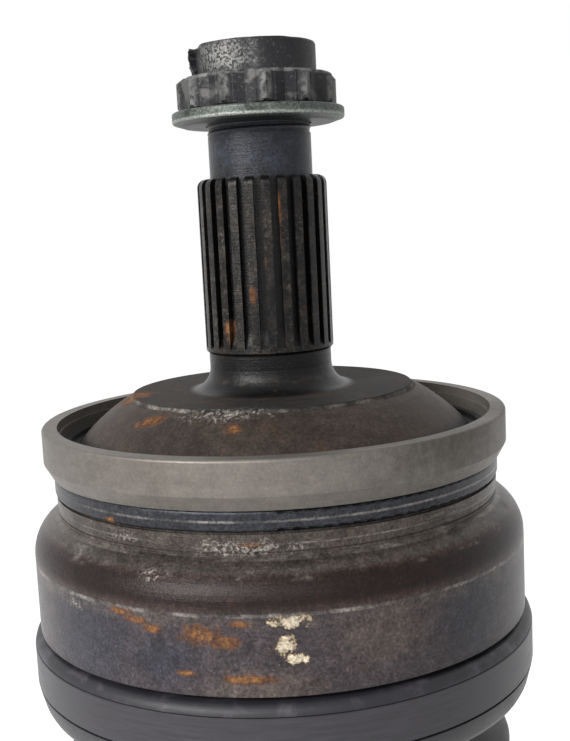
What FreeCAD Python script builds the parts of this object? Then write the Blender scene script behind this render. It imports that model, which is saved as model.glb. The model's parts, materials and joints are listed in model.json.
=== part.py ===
import FreeCAD, Part
import math
import os
import Sketcher
from FreeCAD import Placement, Rotation, Vector

# Half shaft, millimetres. +Z runs along the hub stem, and the origin is where the
# axis crosses the flat boss that the wheel hub is pulled against.
doc = FreeCAD.newDocument("HalfShaft")
sizes = doc.addObject("Spreadsheet::Sheet", "Sizes")

drivingSizes = {
    # hub stem
    "neckRadius": 11.1, "threadRadius": 10.9,
    "stemTop": 71.5, "neckTop": 54.4, "neckBottom": 45.5, "endChamfer": 1.0,
    "splineRadius": 14.0, "splineDepth": 1.5, "splineGap": 1.7, "splineTeeth": 25,
    "splineRunout": 9.3, "cutterRadius": 6.6, "splineShoulder": 1.8, "stemFillet": 5.0,
    "stemRoot": 13.4, "rootDrop": 0.6,
    "cutSpare": 1.0,
    # hub nut and its captive washer
    "nutAcrossFlats": 30.0, "nutTurn": 7.0, "nutBottom": 59.65, "nutHeight": 6.8,
    "nutChamfer": 1.3, "nutChamferRise": 0.8, "nutCornerSpare": 0.01,
    "collarRadius": 12.9, "collarHeight": 7.0, "threadGap": 0.06, "washerRadius": 18.5,
    "washerThick": 3.1, "washerBore": 11.35, "washerRound": 0.6, "washerFoot": 2.4,
    # boss, dome and recess on the outer joint's back
    "bossRadius": 31.4, "bossChamfer": 0.8, "domeStart": 33.2, "domeStep": 1.7, "domeEnd": 43.0,
    "domeDrop": 10.0, "domeRadius": 45.0, "recessFloor": 10.9, "landWidth": 1.5, "landRise": 1.0,
    # dust ring
    "ringTop": 5.6, "ringHeight": 9.8, "ringOuter": 50.7, "ringWall": 3.8, "ringRound": 0.6,
    "ringChamfer": 1.6, "ringChamferRise": 2.9, "ringStep": 0.5, "ringStepDepth": 1.9,
    "pressGap": 0.02,
    # band, neck, shoulder and barrel of the outer joint's housing
    "bandRadius": 48.7, "bandHeight": 4.2, "bandRound": 0.8, "grooveDepth": 1.0, "grooveWidth": 0.4,
    "housingNeck": 48.2, "neckLength": 4.3, "neckStep": 0.2, "neckStepLength": 1.7,
    "toolGroove": 0.25, "toolGrooveDepth": 0.2, "shoulderHeight": 8.5, "shoulderRadius": 8.6,
    "barrelRadius": 54.0, "barrelBottom": 48.6, "bootSeatRadius": 51.4, "mouthDepth": 63.0,
    "mouthChamfer": 1.0,
    # outer ball joint
    "outerCentre": 44.0, "ballPitch": 36.0, "ballRadius": 11.0, "trackSpare": 2.25, "trackRoot": 0.9,
    "trackEnd": 38.0, "cavityRadius": 41.0, "cavityRise": 28.0, "domeCavity": 33.0,
    "cageOuter": 40.7, "cageInner": 32.65, "cageHalf": 15.0, "windowGap": 0.05,
    "windowWidth": 27.5, "raceOuter": 32.3, "raceHalf": 13.5, "raceBore": 13.02,
    "quarterTurn": 90.0, "halfTurn": 180.0,
    # bar between the joints
    "jointSpacing": 300.0, "barRadius": 14.0, "outerEndRadius": 13.0, "outerEndRise": 18.0,
    "innerNeckRadius": 12.0, "neckTaper": 10.0, "innerNeckLength": 76.0, "clipThick": 1.4,
    "clipDepth": 1.2, "clipProud": 1.9, "clipPlay": 0.05, "clipMouth": 6.0,
    # tripod
    "trunnionPitch": 26.0, "trunnionRadius": 9.0, "trunnionEnd": 35.4, "hubRadius": 18.0,
    "trunnionSink": 5.0, "hubHalf": 12.0, "splineFit": 0.02, "rollerRadius": 17.0, "rollerHalf": 7.0,
    "needleRadius": 1.45, "needleCount": 18, "needlePlay": 0.05, "rollerClipPlay": 0.3,
    "rollerSpare": 1.4,
    "seatRadius": 20.0, "seatPlay": 0.3, "cupRadius": 9.0, "cupBottom": 25.0, "cupPilot": 6.4,
    "cupPilotLength": 4.0, "springCoil": 8.0, "springWire": 1.2, "springTurns": 6,
    # inner joint's housing
    "canRadius": 44.5, "slotReach": 37.0, "canBore": 23.8, "canMouth": 30.0, "canMouthBore": 31.6,
    "flareDepth": 24.0, "canDepth": 73.0, "canFloor": 9.0, "canFootRound": 4.0,
    "scallopRadius": 22.0,
    "scallopOffset": 61.5, "scallopStart": 18.0, "stopRingInner": 32.6, "stopRingOuter": 37.6,
    "stopRingRise": 26.0, "stopRingThick": 1.6, "journalRadius": 20.0, "journalLength": 20.0,
    "shieldLand": 22.0,
    "stubRadius": 13.0, "stubLength": 92.0, "stubSplineLength": 46.0, "stubSplineTeeth": 27,
    "stubChamfer": 2.0, "shieldRadius": 36.0, "shieldThick": 1.2, "shieldFlange": 6.0, "stubClipRise": 6.0,
    # boots and clamps
    "bootWall": 2.8, "bootPlay": 0.2, "bootGap": 1.0, "collarWall": 3.7, "mouthCover": 1.8,
    "foldStart": 1.1, "foldPitch": 17.0, "outerFolds": 5, "outerCrestRise": 3.0,
    "outerValleyRise": 7.9, "outerLastCrest": 27.5, "outerLastValley": 21.5,
    "innerFolds": 4, "innerFoldStart": 9.0, "innerCrestRise": 2.0, "innerValleyRise": 6.5,
    "innerLastCrest": 27.0, "innerLastValley": 22.0, "innerCollarHeight": 12.0,
    "innerCollarDrop": 1.0, "smallCollarWall": 4.0, "smallCollarHeight": 13.0,
    "outerBootLength": 97.4, "innerBootLength": 98.0, "seatStep": 1.0,
    "clampWidth": 8.0, "clampThick": 0.7,
    "clampRecess": 0.6, "clampOffset": 2.2, "clampPlay": 0.05, "clampEar": 9.0, "earWidth": 6.0,
    "earRise": 2.6, "smallClampWidth": 7.0,
}
for row, (alias, number) in enumerate(drivingSizes.items(), start=1):
    sizes.set("A%d" % row, alias)
    sizes.set("B%d" % row, str(number))
    sizes.setAlias("B%d" % row, alias)
doc.recompute()

fullTurn = 360
ballCount = 6
trunnionCount = 3
hexagonSides = 6


# reading the sheet
def size(name):
    return float(sizes.get(name))


def worked(text):
    return float(sizes.evalExpression(text))


def bound(text):
    words = []
    word = ""
    for letter in text + " ":
        if letter.isalnum():
            word += letter
            continue
        words.append("Sizes." + word if word in drivingSizes else word)
        words.append(letter)
        word = ""
    return "".join(words).strip()


def bind(item, **expressions):
    for name, text in expressions.items():
        item.setExpression(name.replace("_", "."), bound(text))


# sketch outlines
def bodyPlane(body, role):
    return [plane for plane in body.Origin.OriginFeatures if plane.Role == role][0]


def arcBetween(start, end, radius, side):
    chord = end - start
    toCentre = math.sqrt(max(radius ** 2 - chord.Length ** 2 / 4, 0))
    left = Vector(-chord.y, chord.x, 0).normalize()
    centre = (start + end) * 0.5 + left * toCentre * side
    first, last = (start, end) if side > 0 else (end, start)
    firstAngle = math.atan2(first.y - centre.y, first.x - centre.x)
    lastAngle = math.atan2(last.y - centre.y, last.x - centre.x)
    if lastAngle < firstAngle:
        lastAngle += 2 * math.pi
    circle = Part.Circle(centre, Vector(0, 0, 1), radius)
    return Part.ArcOfCircle(circle, firstAngle, lastAngle)


def boundOutline(body, name, outline):
    sketch = body.newObject("Sketcher::SketchObject", name)
    sketch.AttachmentSupport = [(bodyPlane(body, "XZ_Plane"), "")]
    sketch.MapMode = "FlatFace"
    corners = [Vector(worked(corner[0]), worked(corner[1]), 0) for corner in outline]
    count = len(outline)
    ends = []
    for number, start in enumerate(corners):
        following = (number + 1) % count
        end = corners[following]
        bend = outline[following][2:]
        if not bend:
            sketch.addGeometry(Part.LineSegment(start, end), False)
            ends.append((1, 2))
            continue
        radius, side = bend
        sketch.addGeometry(arcBetween(start, end, worked(radius), side), False)
        ends.append((1, 2) if side > 0 else (2, 1))
    for number, corner in enumerate(corners):
        following = (number + 1) % count
        sketch.addConstraint(Sketcher.Constraint(
            "Coincident", number, ends[number][1], following, ends[following][0]))
        across, along = outline[number][:2]
        for kind, text, place, axis in (
            ("DistanceX", across, corner.x, -2), ("DistanceY", along, corner.y, -1)
        ):
            if text == "0":
                sketch.addConstraint(Sketcher.Constraint(
                    "PointOnObject", number, ends[number][0], axis))
                continue
            index = sketch.addConstraint(Sketcher.Constraint(
                kind, -1, 1, number, ends[number][0], place))
            sketch.setExpression("Constraints[%d]" % index, bound(text))
        bend = outline[following][2:]
        if bend:
            index = sketch.addConstraint(Sketcher.Constraint("Radius", number, worked(bend[0])))
            sketch.setExpression("Constraints[%d]" % index, bound(bend[0]))
    return sketch


# a corner is (radius, height), and an arc to it adds (arc radius, +1 where its centre is left)
def turned(label, outline):
    body = doc.addObject("PartDesign::Body", label)
    body.Label = label
    sketch = boundOutline(body, label + "_outline", outline)
    revolution = body.newObject("PartDesign::Revolution", label + "_turned")
    revolution.Profile = sketch
    revolution.ReferenceAxis = (sketch, ["V_Axis"])
    revolution.Angle = fullTurn
    doc.recompute()
    return body


def pocketRing(body, name, outline, width, count):
    sketch = boundOutline(body, name + "_outline", outline)
    pocket = body.newObject("PartDesign::Pocket", name)
    pocket.Profile = sketch
    pocket.SideType = "Symmetric"
    bind(pocket, Length=width)
    doc.recompute()
    ring = body.newObject("PartDesign::PolarPattern", name + "_ring")
    ring.Originals = [pocket]
    ring.Axis = (bodyPlane(body, "Z_Axis"), [""])
    ring.Angle = fullTurn
    bind(ring, Occurrences=count)
    body.Tip = ring
    doc.recompute()
    return ring


def cut(label, base, tool):
    result = doc.addObject("Part::Cut", label)
    result.Label = label
    result.Base = base
    result.Tool = tool
    doc.recompute()
    return result


def joined(kind, label, members):
    result = doc.addObject(kind, label)
    result.Label = label
    if kind == "Part::Compound":
        result.Links = members
    else:
        result.Shapes = members
    doc.recompute()
    return result


def ready(label, shape, place=Placement()):
    item = doc.addObject("Part::Feature", label)
    item.Label = label
    item.Shape = shape
    item.Placement = place
    return item


subParts = []

# outer joint housing: stem, boss, dome, shoulder, barrel and ball cavity in one forging
bandTop = "-(ringTop + ringHeight)"
bandBottom = bandTop + " - bandHeight"
neckStart = bandBottom + " - grooveWidth"
neckLine = neckStart + " - neckStepLength"
shoulderTop = neckStart + " - neckLength"
shoulderBottom = shoulderTop + " - shoulderHeight"
seatInner = "ringOuter - ringWall - pressGap"
mouthRise = "(mouthDepth - mouthChamfer - outerCentre)"
mouthRadius = "sqrt(cavityRadius ^ 2 - " + mouthRise + " ^ 2)"
cavityEdge = "sqrt(cavityRadius ^ 2 - cavityRise ^ 2)"
domeEdge = "sqrt(domeCavity ^ 2 - cavityRise ^ 2)"
housingTurned = turned("outer_housing_turned", [
    ("0", "stemTop"),
    ("threadRadius - endChamfer", "stemTop"),
    ("threadRadius", "stemTop - endChamfer"),
    ("threadRadius", "neckTop"),
    ("neckRadius", "neckTop"),
    ("neckRadius", "neckBottom"),
    ("splineRadius - splineShoulder", "neckBottom"),
    ("splineRadius", "neckBottom - splineShoulder", "splineShoulder", -1),
    ("splineRadius", "splineRunout - rootDrop"),
    ("stemRoot", "splineRunout - 2 * rootDrop"),
    ("stemRoot", "stemFillet"),
    ("stemRoot + stemFillet", "0", "stemFillet", 1),
    ("bossRadius - bossChamfer", "0"),
    ("bossRadius", "-bossChamfer"),
    ("domeStart", "-domeStep"),
    ("domeEnd", "-domeDrop", "domeRadius", -1),
    ("domeEnd", "-recessFloor"),
    (seatInner + " - landWidth", "-recessFloor"),
    (seatInner + " - landWidth", "-recessFloor + landRise"),
    (seatInner, "-recessFloor + landRise"),
    (seatInner, bandTop),
    ("bandRadius - bandRound", bandTop),
    ("bandRadius", bandTop + " - bandRound", "bandRound", -1),
    ("bandRadius", bandBottom + " + bandRound"),
    ("bandRadius - bandRound", bandBottom, "bandRound", -1),
    ("bandRadius - grooveDepth", bandBottom),
    ("bandRadius - grooveDepth", neckStart),
    ("housingNeck + neckStep", neckStart),
    ("housingNeck + neckStep", neckLine),
    ("housingNeck", neckLine),
    ("housingNeck", shoulderTop + " + 4 * toolGroove"),
    ("housingNeck - toolGrooveDepth", shoulderTop + " + 4 * toolGroove"),
    ("housingNeck - toolGrooveDepth", shoulderTop + " + 3 * toolGroove"),
    ("housingNeck", shoulderTop + " + 3 * toolGroove"),
    ("housingNeck", shoulderTop),
    ("barrelRadius", shoulderBottom, "shoulderRadius", -1),
    ("barrelRadius", "-barrelBottom"),
    ("bootSeatRadius", "-barrelBottom"),
    ("bootSeatRadius", "-mouthDepth + mouthChamfer"),
    ("bootSeatRadius - mouthChamfer", "-mouthDepth"),
    (mouthRadius + " + mouthChamfer", "-mouthDepth"),
    (mouthRadius, "-mouthDepth + mouthChamfer"),
    (cavityEdge, "cavityRise - outerCentre", "cavityRadius", 1),
    (domeEdge, "cavityRise - outerCentre"),
    ("0", "domeCavity - outerCentre", "domeCavity", 1),
])
pocketRing(housingTurned, "hub_spline", [
    ("splineDepth - splineRadius", "neckBottom + cutSpare"),
    ("splineDepth - splineRadius", "splineRunout + sqrt(cutterRadius ^ 2"
     " - (cutterRadius - splineDepth) ^ 2)"),
    ("-splineRadius", "splineRunout", "cutterRadius", -1),
    ("-splineRadius - splineShoulder", "splineRunout"),
    ("-splineRadius - splineShoulder", "neckBottom + cutSpare"),
], "splineGap", "splineTeeth")


# ball tracks: rings swept about the joint centre, one on each of the six meridians
def trackTools(name, ringRadius, tubeRadius, sweep):
    tools = []
    for number in range(ballCount):
        tool = doc.addObject("Part::Torus", "%s_%d" % (name, number + 1))
        bind(tool, Radius1=ringRadius, Radius2=tubeRadius, Angle3=sweep)
        angle = (number + 0.5) * fullTurn / ballCount
        upright = Rotation(Vector(1, 0, 0), 90)
        startDown = Rotation(Vector(0, 1, 0), 90)
        turn = Rotation(Vector(0, 0, 1), angle)
        tool.Placement = Placement(Vector(0, 0, 0), turn * startDown * upright)
        bind(tool, Placement_Base_z="-outerCentre")
        tools.append(tool)
    return joined("Part::Compound", name, tools)


ballTracks = trackTools(
    "housing_tracks", "ballPitch + trackRoot - trackSpare", "ballRadius + trackSpare",
    "trackEnd + quarterTurn")
housing = cut("outer_joint_housing", housingTurned, ballTracks)
subParts.append(housing)

# hub nut: a twelve-point nut made of two hexagons, with a thin staking collar on top
nutTop = "nutBottom + nutHeight"
nutCorner = "nutAcrossFlats / sqrt(3)"
hexagons = []
for number in range(2):
    hexagon = doc.addObject("Part::Prism", "nut_hexagon_%d" % (number + 1))
    hexagon.Polygon = hexagonSides
    bind(hexagon, Circumradius=nutCorner, Height="nutHeight")
    hexagonTurn = number * fullTurn / hexagonSides / 2 + size("nutTurn")
    hexagon.Placement = Placement(Vector(0, 0, 0), Rotation(Vector(0, 0, 1), hexagonTurn))
    bind(hexagon, Placement_Base_z="nutBottom")
    hexagons.append(hexagon)
collar = doc.addObject("Part::Cylinder", "nut_collar")
bind(collar, Radius="collarRadius", Height="collarHeight + nutHeight", Placement_Base_z="nutBottom")
nutBlock = joined("Part::MultiFuse", "nut_block", hexagons + [collar])
nutEnvelope = turned("nut_envelope", [
    ("threadRadius + threadGap", "nutBottom"),
    (nutCorner + " - nutChamfer", "nutBottom"),
    (nutCorner + " + nutCornerSpare", "nutBottom + nutChamferRise"),
    (nutCorner + " + nutCornerSpare", nutTop + " - nutChamferRise"),
    (nutCorner + " - nutChamfer", nutTop),
    ("collarRadius", nutTop),
    ("collarRadius", nutTop + " + collarHeight - nutChamfer / 2"),
    ("collarRadius - nutChamfer / 2", nutTop + " + collarHeight"),
    ("threadRadius + threadGap", nutTop + " + collarHeight"),
])
nut = doc.addObject("Part::MultiCommon", "hub_nut")
nut.Label = "hub_nut"
nut.Shapes = [nutBlock, nutEnvelope]
doc.recompute()
subParts.append(nut)

washer = turned("hub_washer", [
    ("washerBore", "nutBottom"),
    ("washerRadius - washerRound", "nutBottom"),
    ("washerRadius", "nutBottom - washerRound", "washerRound", -1),
    ("washerRadius", "nutBottom - washerThick + 2 * washerRound"),
    ("washerRadius - washerRound", "nutBottom - washerThick + washerRound", "washerRound", -1),
    ("washerRadius - washerFoot", "nutBottom - washerThick"),
    ("washerBore", "nutBottom - washerThick"),
])
subParts.append(washer)

# dust ring, pressed on the land above the band
ringInner = "ringOuter - ringWall"
dustRing = turned("dust_ring", [
    (ringInner + " + ringStep", "-ringTop"),
    ("ringOuter - ringRound", "-ringTop"),
    ("ringOuter", "-ringTop - ringRound", "ringRound", -1),
    ("ringOuter", bandTop + " + ringChamferRise"),
    ("ringOuter - ringChamfer", bandTop),
    (ringInner, bandTop),
    (ringInner, "-ringTop - ringStepDepth"),
    (ringInner + " + ringStep", "-ringTop - ringStepDepth"),
])
subParts.append(dustRing)

# balls: two on the fixed pivot axis, and four that stay with the cage
balls = []
for number in range(ballCount):
    angle = (number + 0.5) * fullTurn / ballCount
    ball = doc.addObject("Part::Sphere", "joint_ball_%d" % (number + 1))
    bind(ball, Radius="ballRadius", Placement_Base_z="-outerCentre")
    bind(ball, Placement_Base_x="ballPitch * cos(%d)" % angle)
    bind(ball, Placement_Base_y="ballPitch * sin(%d)" % angle)
    balls.append(ball)
pivotBallFront = balls.pop(4)
pivotBallFront.Label = "pivot_ball_front"
pivotBallBack = balls.pop(1)
pivotBallBack.Label = "pivot_ball_back"
cageBalls = joined("Part::Compound", "cage_balls", balls)
subParts += [pivotBallFront, pivotBallBack, cageBalls]

# cage: a spherical band with six windows
cageTop = "cageHalf - outerCentre"
cageFoot = "-cageHalf - outerCentre"
cageOuterEdge = "sqrt(cageOuter ^ 2 - cageHalf ^ 2)"
cageInnerEdge = "sqrt(cageInner ^ 2 - cageHalf ^ 2)"
windowHalf = "(ballRadius + windowGap)"
cage = turned("cage", [
    (cageInnerEdge, cageTop, "cageInner", 1),
    (cageOuterEdge, cageTop),
    (cageOuterEdge, cageFoot, "cageOuter", -1),
    (cageInnerEdge, cageFoot),
])
pocketRing(cage, "cage_windows", [
    ("windowWidth / 2", windowHalf + " - outerCentre"),
    ("-windowWidth / 2", windowHalf + " - outerCentre"),
    ("-windowWidth / 2", "-" + windowHalf + " - outerCentre"),
    ("windowWidth / 2", "-" + windowHalf + " - outerCentre"),
], "4 * cageOuter", "%d / 2" % ballCount)
subParts.append(cage)

# inner race, pressed on the bar's end and held by a snap ring
raceTop = "raceHalf - outerCentre"
raceFoot = "-raceHalf - outerCentre"
raceEdge = "sqrt(raceOuter ^ 2 - raceHalf ^ 2)"
raceTurned = turned("race_turned", [
    ("raceBore", raceTop),
    (raceEdge, raceTop),
    (raceEdge, raceFoot, "raceOuter", -1),
    ("raceBore", raceFoot),
])
raceTracks = trackTools(
    "race_tracks", "ballPitch - trackRoot + trackSpare", "ballRadius + trackSpare", "halfTurn")
subParts.append(cut("inner_race", raceTurned, raceTracks))


def snapRing(label, inner, outer, foot):
    ring = turned(label + "_turned", [
        (inner, foot + " + clipThick"),
        (outer, foot + " + clipThick"),
        (outer, foot),
        (inner, foot),
    ])
    mouth = doc.addObject("Part::Box", label + "_mouth")
    bind(mouth, Length=outer + " + cutSpare", Width="clipMouth", Height="3 * clipThick")
    bind(mouth, Placement_Base_y="-clipMouth / 2", Placement_Base_z=foot + " - clipThick")
    doc.recompute()
    return cut(label, ring, mouth)


# bar with its outer end in the race and its inner end in the tripod
innerCentre = "-(outerCentre + jointSpacing)"
raceClipFoot = raceTop + " + clipPlay"
upperClipFoot = innerCentre + " + hubHalf + clipPlay"
lowerClipFoot = innerCentre + " - hubHalf - clipPlay - clipThick"
neckGroove = "innerNeckRadius - clipDepth"
outerGroove = "outerEndRadius - clipDepth"
bar = turned("shaft_bar", [
    ("0", "outerEndRise - outerCentre"),
    ("outerEndRadius - endChamfer", "outerEndRise - outerCentre"),
    ("outerEndRadius", "outerEndRise - outerCentre - endChamfer"),
    ("outerEndRadius", raceClipFoot + " + clipThick + clipPlay"),
    (outerGroove, raceClipFoot + " + clipThick + clipPlay"),
    (outerGroove, raceTop),
    ("outerEndRadius", raceTop),
    ("outerEndRadius", raceFoot + " - pressGap"),
    ("barRadius", raceFoot + " - pressGap - endChamfer"),
    ("barRadius", innerCentre + " + innerNeckLength"),
    ("innerNeckRadius", innerCentre + " + innerNeckLength - neckTaper"),
    ("innerNeckRadius", upperClipFoot + " + clipThick + clipPlay"),
    (neckGroove, upperClipFoot + " + clipThick + clipPlay"),
    (neckGroove, innerCentre + " + hubHalf"),
    ("innerNeckRadius", innerCentre + " + hubHalf"),
    ("innerNeckRadius", innerCentre + " - hubHalf"),
    (neckGroove, innerCentre + " - hubHalf"),
    (neckGroove, lowerClipFoot + " - clipPlay"),
    ("innerNeckRadius", lowerClipFoot + " - clipPlay"),
    ("innerNeckRadius", innerCentre + " - sqrt(seatRadius ^ 2 - innerNeckRadius ^ 2)"),
    ("0", innerCentre + " - seatRadius", "seatRadius", -1),
])
subParts.append(bar)
subParts.append(snapRing(
    "race_snap_ring", outerGroove + " + clipPlay", "outerEndRadius + clipProud", raceClipFoot))
subParts.append(snapRing(
    "spider_upper_snap_ring", neckGroove + " + clipPlay", "innerNeckRadius + clipProud",
    upperClipFoot))
subParts.append(snapRing(
    "spider_lower_snap_ring", neckGroove + " + clipPlay", "innerNeckRadius + clipProud",
    lowerClipFoot))


# tripod: hub with three trunnions, the first on +Y
def trunnionAngle(number):
    return 90 + number * fullTurn // trunnionCount


def alongTrunnion(item, number, distance):
    angle = trunnionAngle(number)
    item.Placement = Placement(
        Vector(0, 0, 0), Rotation(Vector(0, 0, 1), angle) * Rotation(Vector(0, 1, 0), 90))
    bind(item, Placement_Base_x="(" + distance + ") * cos(%d)" % angle)
    bind(item, Placement_Base_y="(" + distance + ") * sin(%d)" % angle)
    bind(item, Placement_Base_z=innerCentre)


spiderHub = turned("spider_hub", [
    ("innerNeckRadius + splineFit", innerCentre + " + hubHalf"),
    ("hubRadius - endChamfer", innerCentre + " + hubHalf"),
    ("hubRadius", innerCentre + " + hubHalf - endChamfer"),
    ("hubRadius", innerCentre + " - hubHalf + endChamfer"),
    ("hubRadius - endChamfer", innerCentre + " - hubHalf"),
    ("innerNeckRadius + splineFit", innerCentre + " - hubHalf"),
])
trunnionRoot = "(hubRadius - trunnionSink)"
trunnions = []
for number in range(trunnionCount):
    trunnion = doc.addObject("Part::Cylinder", "trunnion_%d" % (number + 1))
    bind(trunnion, Radius="trunnionRadius", Height="trunnionEnd - " + trunnionRoot)
    alongTrunnion(trunnion, number, trunnionRoot)
    trunnions.append(trunnion)
spider = joined("Part::MultiFuse", "tripod_spider", [spiderHub] + trunnions)
subParts.append(spider)

# rollers, their needles and their end clips
rollerBore = "trunnionRadius + 2 * (needleRadius + needlePlay)"
rollerFace = "sqrt(rollerRadius ^ 2 - rollerHalf ^ 2)"
clipStart = "rollerHalf + trunnionPitch + rollerClipPlay"
for number, letter in enumerate("abc"):
    roller = turned("roller_" + letter, [
        (rollerBore, "rollerHalf"),
        (rollerFace, "rollerHalf"),
        (rollerFace, "-rollerHalf", "rollerRadius", -1),
        (rollerBore, "-rollerHalf"),
    ])
    alongTrunnion(roller, number, "trunnionPitch")
    clip = turned("roller_clip_" + letter, [
        ("trunnionRadius + splineFit", "clipThick"),
        ("trunnionRadius + clipProud", "clipThick"),
        ("trunnionRadius + clipProud", "0"),
        ("trunnionRadius + splineFit", "0"),
    ])
    alongTrunnion(clip, number, clipStart)
    subParts += [roller, clip]
doc.recompute()
needleLength = 2 * size("rollerHalf") - 4 * size("needlePlay")
needlePitch = size("trunnionRadius") + size("needlePlay") + size("needleRadius")
needleCount = int(size("needleCount"))
for number, letter in enumerate("abc"):
    needles = []
    for step in range(needleCount):
        turn = 2 * math.pi * step / needleCount
        foot = Vector(
            needlePitch * math.cos(turn), needlePitch * math.sin(turn), -needleLength / 2)
        needles.append(Part.makeCylinder(size("needleRadius"), needleLength, foot))
    needleSet = ready("needles_" + letter, Part.makeCompound(needles))
    alongTrunnion(needleSet, number, "trunnionPitch")
    subParts.append(needleSet)

# thrust cup and preload spring under the bar's rounded end
cupSeat = "(seatRadius + seatPlay)"
cupRim = "(cupRadius - endChamfer)"
cupRimDrop = innerCentre + " - sqrt(" + cupSeat + " ^ 2 - " + cupRim + " ^ 2)"
subParts.append(turned("thrust_cup", [
    (cupRim, cupRimDrop, cupSeat, 1),
    ("cupRadius", cupRimDrop),
    ("cupRadius", innerCentre + " - cupBottom"),
    ("cupPilot", innerCentre + " - cupBottom"),
    ("cupPilot", innerCentre + " - cupBottom - cupPilotLength"),
    ("0", innerCentre + " - cupBottom - cupPilotLength"),
    ("0", innerCentre + " - " + cupSeat),
]))
springTop = worked(innerCentre) - size("cupBottom") - size("springWire") - size("bootPlay")
springFoot = worked(innerCentre) - size("canDepth") + size("springWire") + size("bootPlay")
springRise = springTop - springFoot
springLine = Part.makeHelix(springRise / size("springTurns"), springRise, size("springCoil"))
springSection = Part.Wire([Part.makeCircle(
    size("springWire"), Vector(size("springCoil"), 0, 0), Vector(0, 1, 0))])
springShape = Part.Wire(springLine.Edges).makePipeShell([springSection], True, True)
subParts.append(ready("preload_spring", springShape, Placement(
    Vector(0, 0, springFoot), Rotation())))

# inner joint housing: a three-lobed can with a splined stub
mouth = innerCentre + " + canMouth"
ringFoot = innerCentre + " + stopRingRise"
canFoot = innerCentre + " - canDepth - canFloor"
stubEnd = canFoot + " - stubLength"
stubSplineTop = stubEnd + " + stubSplineLength"
stubClipFoot = stubEnd + " + stubClipRise"
canTurned = turned("can_turned", [
    ("canMouthBore", mouth),
    ("canRadius - endChamfer", mouth),
    ("canRadius", mouth + " - endChamfer"),
    ("canRadius", canFoot + " + canFootRound"),
    ("canRadius - canFootRound", canFoot, "canFootRound", -1),
    ("shieldLand", canFoot),
    ("shieldLand", canFoot + " - shieldFlange"),
    ("journalRadius", canFoot + " - shieldFlange"),
    ("journalRadius", canFoot + " - journalLength + endChamfer"),
    ("journalRadius - endChamfer", canFoot + " - journalLength"),
    ("stubRadius + endChamfer", canFoot + " - journalLength"),
    ("stubRadius", canFoot + " - journalLength - endChamfer", "endChamfer", 1),
    ("stubRadius", stubClipFoot + " + clipThick + clipPlay"),
    ("stubRadius - clipDepth - splineDepth", stubClipFoot + " + clipThick + clipPlay"),
    ("stubRadius - clipDepth - splineDepth", stubClipFoot + " - clipPlay"),
    ("stubRadius", stubClipFoot + " - clipPlay"),
    ("stubRadius", stubEnd + " + stubChamfer"),
    ("stubRadius - stubChamfer", stubEnd),
    ("0", stubEnd),
    ("0", innerCentre + " - canDepth"),
    ("canBore", innerCentre + " - canDepth"),
    ("canBore", mouth + " - flareDepth"),
    ("canMouthBore", ringFoot + " - clipPlay"),
    ("stopRingOuter + clipPlay", ringFoot + " - clipPlay"),
    ("stopRingOuter + clipPlay", ringFoot + " + stopRingThick + clipPlay"),
    ("canMouthBore", ringFoot + " + stopRingThick + clipPlay"),
])
pocketRing(canTurned, "stub_spline", [
    ("stubRadius - splineDepth", stubEnd + " - cutSpare"),
    ("stubRadius - splineDepth", stubSplineTop + " - sqrt(cutterRadius ^ 2"
     " - (cutterRadius - splineDepth) ^ 2)"),
    ("stubRadius", stubSplineTop, "cutterRadius", -1),
    ("stubRadius + splineShoulder", stubSplineTop),
    ("stubRadius + splineShoulder", stubEnd + " - cutSpare"),
], "splineGap", "stubSplineTeeth")
slotLimit = doc.addObject("Part::Cylinder", "slot_limit")
bind(slotLimit, Radius="slotReach", Height="canDepth + canMouth + cutSpare")
bind(slotLimit, Placement_Base_z=innerCentre + " - canDepth")
scallopHeight = "canMouth + canDepth + canFloor - scallopStart + cutSpare"
slots = []
scallops = []
for number in range(trunnionCount):
    slotAngle = trunnionAngle(number)
    slot = doc.addObject("Part::Cylinder", "roller_slot_%d" % (number + 1))
    bind(slot, Radius="rollerRadius + rollerSpare", Height="canDepth + canMouth + cutSpare")
    bind(slot, Placement_Base_x="trunnionPitch * cos(%d)" % slotAngle)
    bind(slot, Placement_Base_y="trunnionPitch * sin(%d)" % slotAngle)
    bind(slot, Placement_Base_z=innerCentre + " - canDepth")
    slots.append(slot)
    scallop = doc.addObject("Part::Cylinder", "scallop_%d" % (number + 1))
    bind(scallop, Radius="scallopRadius", Height=scallopHeight)
    bind(scallop, Placement_Base_x="-scallopOffset * cos(%d)" % slotAngle)
    bind(scallop, Placement_Base_y="-scallopOffset * sin(%d)" % slotAngle)
    bind(scallop, Placement_Base_z=canFoot + " - cutSpare")
    scallops.append(scallop)
allSlots = joined("Part::MultiFuse", "all_slots", slots)
slotTool = doc.addObject("Part::MultiCommon", "slot_tool")
slotTool.Shapes = [allSlots, slotLimit]
scallopTool = joined("Part::Compound", "scallop_tool", scallops)
doc.recompute()
slotted = cut("slotted_can", canTurned, slotTool)
subParts.append(cut("inner_joint_housing", slotted, scallopTool))

subParts.append(turned("roller_stop_ring", [
    ("stopRingInner", ringFoot + " + stopRingThick"),
    ("stopRingOuter", ringFoot + " + stopRingThick"),
    ("stopRingOuter", ringFoot),
    ("stopRingInner", ringFoot),
]))
subParts.append(turned("stub_dust_shield", [
    ("shieldLand + pressGap", canFoot),
    ("shieldRadius", canFoot),
    ("shieldRadius", canFoot + " - shieldFlange"),
    ("shieldRadius - shieldThick", canFoot + " - shieldFlange"),
    ("shieldRadius - shieldThick", canFoot + " - shieldThick"),
    ("shieldLand + pressGap + shieldThick", canFoot + " - shieldThick"),
    ("shieldLand + pressGap + shieldThick", canFoot + " - shieldFlange"),
    ("shieldLand + pressGap", canFoot + " - shieldFlange"),
]))
subParts.append(snapRing(
    "stub_snap_ring", "stubRadius - clipDepth - splineDepth + clipPlay",
    "stubRadius + clipPlay", stubClipFoot))


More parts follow.
